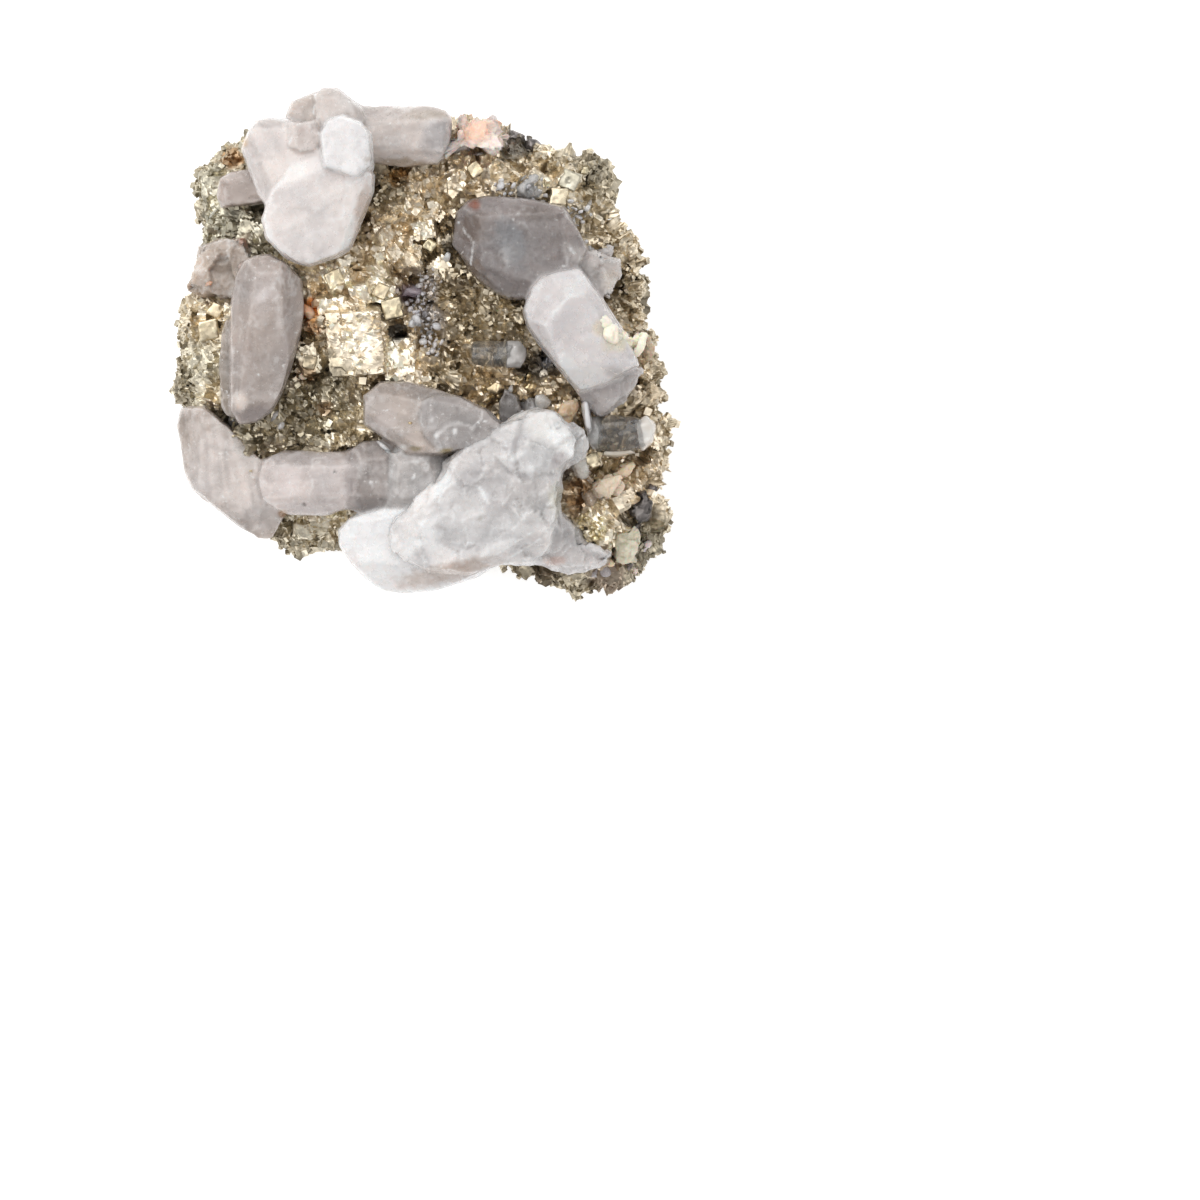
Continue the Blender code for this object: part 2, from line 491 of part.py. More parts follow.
def skin_point(direction, jitter):
    """Where a point of the unit sphere lands on the rock's skin."""
    polar = math.acos(max(-1.0, min(1.0, direction.z)))
    angle = math.atan2(direction.y, direction.x)
    radius = rim_radius(angle)
    upper_end = math.radians(UPPER_END)
    flank_end = math.radians(FLANK_END)
    across = Vector((math.cos(angle), math.sin(angle), 0.0))
    if polar < upper_end:
        share = BRINK_SHARE * math.sin(polar / 2) / math.sin(upper_end / 2)
        spot = across * radius * share
        spot.z = rock_height(spot.x, spot.y) - edge_drop(share)
        spot.z += UPPER_ROUGHNESS * jitter.uniform(-1.0, 0.8)
        return spot
    if polar < flank_end:
        down = (polar - upper_end) / (flank_end - upper_end)
        brink = across * radius * BRINK_SHARE
        height = (rock_height(brink.x, brink.y) - edge_drop(BRINK_SHARE)) * (1.0 - down) ** FLANK_POWER
        bulge = (1.0 - BRINK_SHARE) * math.sin(math.pi * min(1.0, 1.4 * down))
        share = BRINK_SHARE + bulge - (BRINK_SHARE - UNDERSIDE_SHARE) * down ** 3
        spot = across * (radius * share + FLANK_ROUGHNESS * jitter.uniform(-1.0, 0.2))
        spot.z = max(0.9, height + jitter.uniform(-0.5, 0.5))
        return spot
    inward = (polar - flank_end) / (math.pi - flank_end)
    share = UNDERSIDE_SHARE * (1.0 - inward)
    spot = across * radius * share
    if share > FOOT_SHARE:
        spot.z = 0.6 + jitter.uniform(0.0, 0.6)
    return spot


def rock_bmesh():
    """Closed skin of the rock, without its cubes, standing on a flat foot."""
    jitter = random.Random(CUBE_SEED + 1)
    bm = bmesh.new()
    places = []
    golden = math.pi * (3.0 - math.sqrt(5.0))
    for number in range(SKIN_POINTS):
        level = 1.0 - 2.0 * (number + 0.5) / SKIN_POINTS
        angle = golden * number + jitter.uniform(-0.03, 0.03)
        flat = math.sqrt(1.0 - level * level)
        direction = Vector((flat * math.cos(angle), flat * math.sin(angle), level))
        bm.verts.new(direction)
        places.append(skin_point(direction, jitter))
    bmesh.ops.convex_hull(bm, input=bm.verts)
    for vert, place in zip(bm.verts, places):
        vert.co = place
    bmesh.ops.recalc_face_normals(bm, faces=bm.faces)
    foot = [face for face in bm.faces if all(vert.co.z == 0.0 for vert in face.verts)]
    inner = {edge for face in foot for edge in face.edges if all(other in foot for other in edge.link_faces)}
    bmesh.ops.dissolve_edges(bm, edges=list(inner), use_verts=True)
    return bm


def cube_bmesh(centre, sides, turn):
    bm = bmesh.new()
    bmesh.ops.create_cube(bm, size=1.0)
    place = Matrix.Translation(centre) @ turn.to_matrix().to_4x4() @ Matrix.Diagonal((*sides, 1.0))
    bmesh.ops.transform(bm, matrix=place, verts=bm.verts)
    return bm


def noted_cubes():
    cubes = []
    for x, y, top, sides, turn, tilt in NOTED_CUBES:
        angles = Euler((math.radians(tilt), math.radians(-0.7 * tilt), math.radians(turn)))
        cubes.append(cube_bmesh(Vector((x, y, top - sides[2] / 2)), sides, angles))
    return cubes


def under_crystal(x, y):
    """Whether a place lies inside the outline of any crystal or lump."""
    for group in CRYSTAL_GROUPS:
        for form in group.values():
            rim = form["rim"]
            turns = [(bx - ax) * (y - ay) - (by - ay) * (x - ax)
                     for (ax, ay), (bx, by) in zip(rim, rim[1:] + rim[:1])]
            if min(turns) > 0.0 or max(turns) < 0.0:
                return True
    return False


def seeded_cubes():
    """Small cubes half sunk in the upper side and in the flank."""
    pick = random.Random(CUBE_SEED)
    cubes = []
    while len(cubes) < UPPER_CUBES + FLANK_CUBES:
        angle = pick.uniform(0.0, math.tau)
        if len(cubes) >= UPPER_CUBES:
            angle = math.tau * (len(cubes) - UPPER_CUBES + pick.random()) / FLANK_CUBES
        radius = rim_radius(angle)
        side = CUBE_SIDES[0] + (CUBE_SIDES[1] - CUBE_SIDES[0]) * pick.random() ** 1.7
        sides = (side, side * pick.uniform(0.75, 1.1), side * pick.uniform(0.8, 1.1))
        if len(cubes) < UPPER_CUBES:
            share = math.sqrt(pick.uniform(0.0, 0.82))
            reach = radius * share
            if under_crystal(reach * math.cos(angle), reach * math.sin(angle)):
                continue
            height = rock_height(reach * math.cos(angle), reach * math.sin(angle))
            height -= edge_drop(share) + side * pick.uniform(0.05, 0.3)
        else:
            height = pick.uniform(3.5, 14.0)
            reach = radius - side * pick.uniform(0.4, 0.6) - 0.05 * max(0.0, 7.0 - height) ** 2
        centre = Vector((reach * math.cos(angle), reach * math.sin(angle), height))
        turn = Euler([pick.uniform(-0.6, 0.6), pick.uniform(-0.6, 0.6), pick.uniform(0.0, math.pi)])
        cubes.append(cube_bmesh(centre, sides, turn))
    return cubes


def keep_largest(mesh):
    """Drop crumbs that the crystals' sockets cut off from the rock."""
    bm = bmesh.new()
    bm.from_mesh(mesh)
    bmesh.ops.remove_doubles(bm, verts=bm.verts, dist=0.000001)
    bmesh.ops.dissolve_degenerate(bm, dist=0.000001, edges=bm.edges)
    bm.verts.ensure_lookup_table()
    unseen = set(bm.verts)
    groups = []
    while unseen:
        reached = {unseen.pop()}
        frontier = list(reached)
        while frontier:
            vert = frontier.pop()
            for edge in vert.link_edges:
                other = edge.other_vert(vert)
                if other in unseen:
                    unseen.discard(other)
                    reached.add(other)
                    frontier.append(other)
        groups.append(reached)
    largest = max(groups, key=len)
    crumbs = [vert for vert in bm.verts if vert not in largest]
    bmesh.ops.delete(bm, geom=crumbs, context="VERTS")
    bmesh.ops.triangulate(bm, faces=bm.faces)
    bm.to_mesh(mesh)
    bm.free()


def settle(obj):
    """Turn an object's modifiers into its own mesh, kept as one body."""
    graph = bpy.context.evaluated_depsgraph_get()
    graph.update()
    mesh = bpy.data.meshes.new_from_object(obj.evaluated_get(graph))
    obj.modifiers.clear()
    obj.data = mesh
    keep_largest(mesh)


def build():
    clear_scene()
    white = make_material("quartz_white", WHITE_QUARTZ)
    smoky = make_material("quartz_smoky", SMOKY_QUARTZ)
    clear = make_material("quartz_clear", CLEAR_QUARTZ)
    pink = make_material("carbonate_pink", PINK_CARBONATE)
    cream = make_material("carbonate_cream", CREAM_CARBONATE)
    lead = make_material("lead_ore", LEAD_ORE)
    pyrite = make_material("pyrite", PYRITE)

    add_cluster("quartz_cluster_upper_left", UPPER_LEFT_QUARTZ, white)
    add_cluster("quartz_prism_left", LEFT_QUARTZ, white)
    add_cluster("quartz_cluster_lower", LOWER_QUARTZ, white)
    add_cluster("quartz_cluster_right", RIGHT_QUARTZ, smoky)
    add_cluster("quartz_prism_small", SMALL_CLEAR_QUARTZ, clear)
    add_cluster("quartz_prism_edge", EDGE_CLEAR_QUARTZ, clear)
    lump_looks = {"pink_carbonate_patch": pink, "lead_ore_grain": lead}
    for name, form in LUMPS.items():
        add_cluster(name, {name: form}, lump_looks.get(name, cream))

    socket_forms = [form for group in CRYSTAL_GROUPS for form in group.values()]
    sockets = add_object("sockets", joined([crystal_bmesh(form, SOCKET_GAP) for form in socket_forms]),
                         helper=True)
    cubes = add_object("pyrite_cubes", joined(noted_cubes() + seeded_cubes()), helper=True)

    rock = add_object("pyrite_mass", rock_bmesh())
    add_boolean(rock, "UNION", cubes)
    add_boolean(rock, "DIFFERENCE", sockets)
    rock.data.materials.append(pyrite)
    settle(rock)


build()
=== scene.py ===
import math
import random
from itertools import product

import bpy
import numpy as np
from mathutils import Euler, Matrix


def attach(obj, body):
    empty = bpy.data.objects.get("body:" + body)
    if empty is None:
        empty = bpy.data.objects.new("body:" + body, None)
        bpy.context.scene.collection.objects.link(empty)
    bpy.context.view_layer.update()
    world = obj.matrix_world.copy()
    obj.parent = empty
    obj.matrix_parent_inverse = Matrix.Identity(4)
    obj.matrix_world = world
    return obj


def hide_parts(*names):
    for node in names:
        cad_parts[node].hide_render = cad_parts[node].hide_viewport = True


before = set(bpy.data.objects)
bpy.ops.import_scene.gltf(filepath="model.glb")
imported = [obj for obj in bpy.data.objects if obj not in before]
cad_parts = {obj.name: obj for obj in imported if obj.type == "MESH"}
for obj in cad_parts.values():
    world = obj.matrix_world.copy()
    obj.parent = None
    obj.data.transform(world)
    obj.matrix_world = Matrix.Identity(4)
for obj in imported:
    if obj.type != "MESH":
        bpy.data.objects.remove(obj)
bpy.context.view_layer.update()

# A hand specimen of granular pyrite with quartz crystals, lying on a pale table.
# The tables are in millimetres and degrees, seen from straight above: +X right, +Y up the
# picture, +Z towards the viewer. Meshes are made in metres.

mm = 0.001
surfacesMade = []

# Numbers and noise

def linearColour(red, green, blue):
    # A picture's 0 to 255 values as the linear ones that shaders use
    value = np.array((red, green, blue)) / 255.0
    return np.where(value <= 0.04045, value / 12.92, ((value + 0.055) / 1.055) ** 2.4)


def cellRandom(cells, salt):
    # The three whole numbers of a cell, mixed with large primes into one number from 0 to 1
    mixed = cells[..., 0] * 374761393 + cells[..., 1] * 668265263 + cells[..., 2] * 1442695041
    mixed = (mixed + salt * 987654323) & 0xFFFFFFFF
    mixed = ((mixed ^ (mixed >> 15)) * 2246822519) & 0xFFFFFFFF
    mixed = ((mixed ^ (mixed >> 13)) * 3266489917) & 0xFFFFFFFF
    return ((mixed ^ (mixed >> 16)) & 0xFFFFFF) / float(0xFFFFFF)


def cloud(points, size, salt):
    # Value noise from -1 to 1: the random numbers at the eight corners of a point's cell,
    # blended with smooth weights
    place = points / size
    low = np.floor(place).astype(np.int64)
    part = place - low
    part = part * part * (3.0 - 2.0 * part)
    total = np.zeros(points.shape[:-1])
    for corner in product((0, 1), repeat=3):
        share = np.prod(np.where(np.array(corner) == 1, part, 1.0 - part), axis=-1)
        total += share * cellRandom(low + np.array(corner), salt)
    return 2.0 * total - 1.0


def smoothStep(low, high, value):
    part = np.clip((value - low) / (high - low), 0.0, 1.0)
    return part * part * (3.0 - 2.0 * part)


def nearMean(spots, x, y, column, blur=2.0, falloff=1.6):
    # Mean of a column of the table, each spot weighted by its nearness to the point
    table = np.array([spot[:2] + (spot[column],) for spot in spots])
    gap = (x[..., None] - table[:, 0]) ** 2 + (y[..., None] - table[:, 1]) ** 2
    nearness = (gap + blur) ** -falloff
    return (nearness * table[:, 2]).sum(axis=-1) / nearness.sum(axis=-1)


def turnMatrices(first, second, third):
    # Rotation matrices from three random numbers each, by way of evenly spread unit quaternions
    a = np.sqrt(1.0 - first) * np.sin(math.tau * second)
    b = np.sqrt(1.0 - first) * np.cos(math.tau * second)
    c = np.sqrt(first) * np.sin(math.tau * third)
    w = np.sqrt(first) * np.cos(math.tau * third)
    rows = [1 - 2 * (b * b + c * c), 2 * (a * b - c * w), 2 * (a * c + b * w),
            2 * (a * b + c * w), 1 - 2 * (a * a + c * c), 2 * (b * c - a * w),
            2 * (a * c - b * w), 2 * (b * c + a * w), 1 - 2 * (a * a + b * b)]
    return np.stack(rows, axis=-1).reshape(first.shape + (3, 3))


# Meshes

def gridFaces(rows, columns, wrapped=False):
    # Quads between the neighbouring points of a grid numbered row by row
    index = np.arange(rows * columns).reshape(rows, columns)
    if wrapped:
        index = np.concatenate([index, index[:, :1]], axis=1)
    quads = [index[:-1, :-1], index[:-1, 1:], index[1:, 1:], index[1:, :-1]]
    return np.stack(quads, axis=-1).reshape(-1, 4)


def fanFaces(ring, tip):
    # Triangles from each step of a closed ring to one tip
    return np.stack([ring, np.roll(ring, -1), np.full(len(ring), tip)], axis=-1)


def facesOutward(points, quads, triangles):
    # Turns all faces round if the volume that they enclose comes out negative
    every = np.concatenate([quads[:, :3], quads[:, [0, 2, 3]], triangles])
    a, b, c = points[every[:, 0]], points[every[:, 1]], points[every[:, 2]]
    if np.einsum("ij,ij->i", a, np.cross(b, c)).sum() < 0.0:
        return quads[:, ::-1], triangles[:, ::-1]
    return quads, triangles


def closedSurface(points, quads, triangles, pointTone, faceTone=None):
    quads, triangles = facesOutward(points, quads, triangles)
    return {"points": points, "quads": quads, "triangles": triangles,
            "pointTone": pointTone, "faceTone": faceTone}


def makePiece(name, surfaces, material, standsFor=(), smooth=True):
    # One mesh object from several closed surfaces, with their colours as the attribute tone
    counts = np.cumsum([0] + [len(surface["points"]) for surface in surfaces])
    points = np.concatenate([surface["points"] for surface in surfaces]) * mm
    quads = np.concatenate([surface["quads"] + start for surface, start in zip(surfaces, counts)])
    triangles = [surface["triangles"] + start for surface, start in zip(surfaces, counts)]
    triangles = np.concatenate(triangles)
    corners = np.concatenate([quads.ravel(), triangles.ravel()])
    sizes = np.concatenate([np.full(len(quads), 4), np.full(len(triangles), 3)])
    mesh = bpy.data.meshes.new(name)
    mesh.vertices.add(len(points))
    mesh.vertices.foreach_set("co", points.astype(np.float32).ravel())
    mesh.loops.add(len(corners))
    mesh.loops.foreach_set("vertex_index", corners.astype(np.int32))
    mesh.polygons.add(len(sizes))
    mesh.polygons.foreach_set("loop_start", (np.cumsum(sizes) - sizes).astype(np.int32))
    mesh.polygons.foreach_set("use_smooth", np.full(len(sizes), smooth))
    mesh.update(calc_edges=True)
    perFace = surfaces[0]["faceTone"] is not None
    tone = mesh.attributes.new("tone", "FLOAT_COLOR", "FACE" if perFace else "POINT")
    if perFace:
        onQuads = [surface["faceTone"][:len(surface["quads"])] for surface in surfaces]
        onTriangles = [surface["faceTone"][len(surface["quads"]):] for surface in surfaces]
        colours = np.concatenate(onQuads + onTriangles)
    else:
        colours = np.concatenate([surface["pointTone"] for surface in surfaces])
    if colours.shape[1] == 3:
        colours = np.concatenate([colours, np.ones((len(colours), 1))], axis=1)
    tone.data.foreach_set("color", colours.astype(np.float32).ravel())
    mesh.materials.append(material)
    piece = bpy.data.objects.new(name, mesh)
    bpy.context.scene.collection.objects.link(piece)
    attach(piece, "root")
    if standsFor:
        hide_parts(*standsFor)
    surfacesMade.append((name, len(quads) * 2 + len(triangles)))


# The rock's smooth form, which carries everything else

# The rock: outline corners, heights of its upper side (x, y, z), and how its skin bends.
rock = {
    "rim": [
        (32.4, 2.0), (31.9, 8.5), (31.0, 12.0), (28.9, 15.0), (26.7, 17.6), (26.5, 19.8), (27.3, 22.6),
        (26.8, 25.3), (24.5, 26.5), (20.2, 27.4), (15.4, 28.6), (12.0, 29.4), (8.5, 30.6), (5.8, 31.2),
        (1.0, 31.0), (-5.6, 31.0), (-11.0, 31.6), (-15.8, 30.2), (-20.0, 28.6), (-24.6, 28.0),
        (-28.8, 26.7), (-32.2, 24.0), (-32.3, 20.0), (-31.8, 14.0), (-32.4, 9.5), (-32.3, 7.0),
        (-34.4, 4.2), (-34.5, 1.8), (-33.6, -1.0), (-34.8, -4.8), (-35.8, -6.9), (-33.9, -9.0),
        (-31.8, -13.0), (-30.2, -18.2), (-27.0, -22.6), (-22.2, -25.6), (-20.2, -28.6), (-19.0, -29.8),
        (-17.2, -30.4), (-13.8, -29.4), (-9.8, -29.2), (-6.6, -31.2), (-1.0, -32.6), (5.0, -31.6),
        (10.0, -31.0), (13.8, -32.4), (17.0, -33.6), (20.0, -35.1), (23.2, -34.2), (26.8, -33.6),
        (30.2, -32.8), (33.4, -30.6), (33.8, -27.2), (34.3, -24.4), (33.1, -21.4), (33.9, -18.8),
        (34.9, -16.4), (35.6, -14.6), (34.8, -12.2), (34.4, -9.6), (33.7, -6.4), (33.6, -3.0), (32.2, -0.6),
    ],
    "heights": [
        (-30.0, 21.0, 17.0), (-27.0, 25.5, 18.5), (-30.0, 13.0, 15.5), (-25.0, 16.5, 20.0),
        (-31.0, 2.0, 19.0), (-33.5, -6.5, 15.5), (-29.0, -8.0, 20.0), (-14.0, -10.0, 22.0),
        (-22.0, -13.5, 21.5), (-11.0, -1.0, 24.0), (-12.0, 8.0, 24.0), (-4.0, 14.0, 23.5),
        (2.0, 18.0, 22.0), (0.0, 22.5, 23.5), (8.0, 23.0, 22.5), (16.0, 25.5, 20.5), (24.0, 22.5, 19.0),
        (26.0, 15.5, 19.0), (1.5, 8.5, 20.6), (-2.5, 0.5, 20.0), (4.0, 3.0, 20.5), (7.0, -1.5, 20.0),
        (3.0, -4.5, 21.5), (13.5, -6.5, 19.0), (17.0, -3.5, 20.0), (30.0, 5.5, 18.5), (31.0, -6.0, 18.5),
        (28.0, -17.0, 21.0), (24.0, -22.0, 22.0), (24.0, -27.0, 21.0), (31.5, -19.0, 19.0),
        (31.0, -28.5, 18.0), (18.0, -32.5, 12.5), (-16.5, -27.5, 14.0), (-12.0, -27.5, 15.0),
        (9.0, 27.5, 22.0), (-9.0, -14.0, 22.5), (0.0, -28.0, 15.0), (-26.0, -19.0, 14.0),
        (-14.0, 26.0, 21.0), (4.0, -20.0, 20.0), (14.0, 14.0, 20.0), (22.0, 2.0, 20.0), (-21.0, 1.0, 21.0),
        (28.0, -10.5, 20.5), (-12.0, 31.0, 20.5), (-19.0, 29.0, 21.0), (0.0, 30.5, 21.5),
    ],
    "brinkShare": 0.95,      # where the upper side turns into the flank, as a share of the rim
    "underShare": 0.88,
    "footShare": 0.74,       # inside this share the underside is flat on the table
    "lift": 0.9,             # height of the flank's lower edge over the table
    "bendShare": 0.74,
    "bendSlope": 12.0,
    "flankPower": 1.15,
    "bulgeTurns": 1.4,
}


def rimRadius(angle):
    corners = sorted((math.atan2(y, x) % math.tau, math.hypot(x, y)) for x, y in rock["rim"])
    angles = [corners[-1][0] - math.tau] + [a for a, r in corners] + [corners[0][0] + math.tau]
    radii = [corners[-1][1]] + [r for a, r in corners] + [corners[0][1]]
    return np.interp(angle % math.tau, angles, radii)


def rockHeight(x, y):
    return nearMean(rock["heights"], x, y, 2)


def edgeDrop(share):
    return rock["bendSlope"] * np.maximum(0.0, share - rock["bendShare"])


def rockSkin(level, angle):
    # Level runs from 0, the middle of the upper side, to 1 at the brink, 2 at the foot's edge and
    # 3 at the middle of the underside. Each point is the rim's radius times a share of it, at a
    # height that is the near mean on top, falls by a power down the flank and ends flat.
    radius = rimRadius(angle)
    brink = rock["brinkShare"]
    across = np.stack([np.cos(angle), np.sin(angle)], axis=-1)
    upperShare = brink * np.minimum(level, 1.0)
    down = np.clip(level - 1.0, 0.0, 1.0)
    inward = np.clip(level - 2.0, 0.0, 1.0)
    bulge = (1.0 - brink) * np.sin(math.pi * np.minimum(1.0, rock["bulgeTurns"] * down))
    flankShare = brink + bulge - (brink - rock["underShare"]) * down ** 3
    share = np.where(level <= 1.0, upperShare, flankShare) * (1.0 - inward)
    spot = across * (radius * share)[..., None]
    top = across * (radius * upperShare)[..., None]
    height = rockHeight(top[..., 0], top[..., 1]) - edgeDrop(upperShare)
    height = height * (1.0 - down) ** rock["flankPower"]
    lift = rock["lift"] * smoothStep(rock["footShare"], rock["underShare"], share)
    height = np.where(level >= 2.0, lift, np.maximum(height, rock["lift"]))
    return np.concatenate([spot, height[..., None]], axis=-1)


def gridNormals(points, wrapped=False):
    # Cross product of the differences along the grid's two ways
    along = np.gradient(points, axis=0)
    if wrapped:
        across = np.roll(points, -1, axis=1) - np.roll(points, 1, axis=1)
    else:
        across = np.gradient(points, axis=1)
    normal = np.cross(along, across)
    return normal / np.maximum(np.linalg.norm(normal, axis=-1, keepdims=True), 1e-9)


def underCrystal(x, y):
    # Whether each point lies inside the outline of any crystal
    inside = np.zeros(np.shape(x), bool)
    for group in crystalGroups:
        for form in group.values():
            rim = np.array(form["rim"])
            step = np.roll(rim, -1, axis=0) - rim
            turns = step[:, 0] * (y[..., None] - rim[:, 1]) - step[:, 1] * (x[..., None] - rim[:, 0])
            inside |= (turns > 0).all(axis=-1) | (turns < 0).all(axis=-1)
    return inside


# Pyrite

# Pyrite cubes noted one by one: x, y, rise above the ground, three sides, turn and tilt.
notedCubes = [
    (-9.2, -0.4, 1.6, (7.8, 9.2, 6.0), 4, 3), (-10.6, 3.4, 1.1, (5.4, 4.6, 5.0), -14, 9),
    (-2.9, -2.6, 1.3, (4.3, 6.2, 5.0), -3, -6), (-4.0, 4.4, 1.1, (3.2, 3.2, 3.4), 17, 13),
    (-5.6, 6.8, 1.1, (3.7, 3.2, 3.6), -24, 10), (-11.9, 9.1, 1.1, (3.4, 3.6, 3.2), 31, -14),
    (-8.6, 6.2, 1.1, (2.9, 3.3, 3.0), 12, 17), (-13.0, 4.9, 1.1, (3.0, 2.4, 2.6), 5, 4),
    (-15.6, -2.6, 1.1, (3.2, 4.2, 3.0), 21, -11), (20.7, 22.5, 1.1, (2.9, 2.7, 3.0), 38, 8),
    (19.3, 20.2, 1.1, (2.4, 3.0, 2.8), -16, -12), (23.8, -16.8, 1.1, (2.6, 3.0, 2.8), 25, 10),
    (22.4, -25.0, 1.1, (2.2, 2.2, 2.4), 12, 16), (24.6, -25.2, 1.1, (2.4, 2.0, 2.4), 52, -12),
    (23.4, -27.4, 1.1, (2.5, 2.3, 2.4), 33, 9), (25.4, -27.6, 1.1, (2.0, 2.2, 2.2), 8, -18),
    (9.9, -7.0, 1.1, (2.3, 2.1, 2.4), 28, 14), (15.0, -6.3, 1.1, (1.9, 1.8, 2.0), 45, -10),
    (0.4, 15.4, 1.1, (3.2, 2.8, 3.0), 12, 12), (4.6, 21.6, 1.1, (3.0, 2.6, 2.8), 50, -9),
]

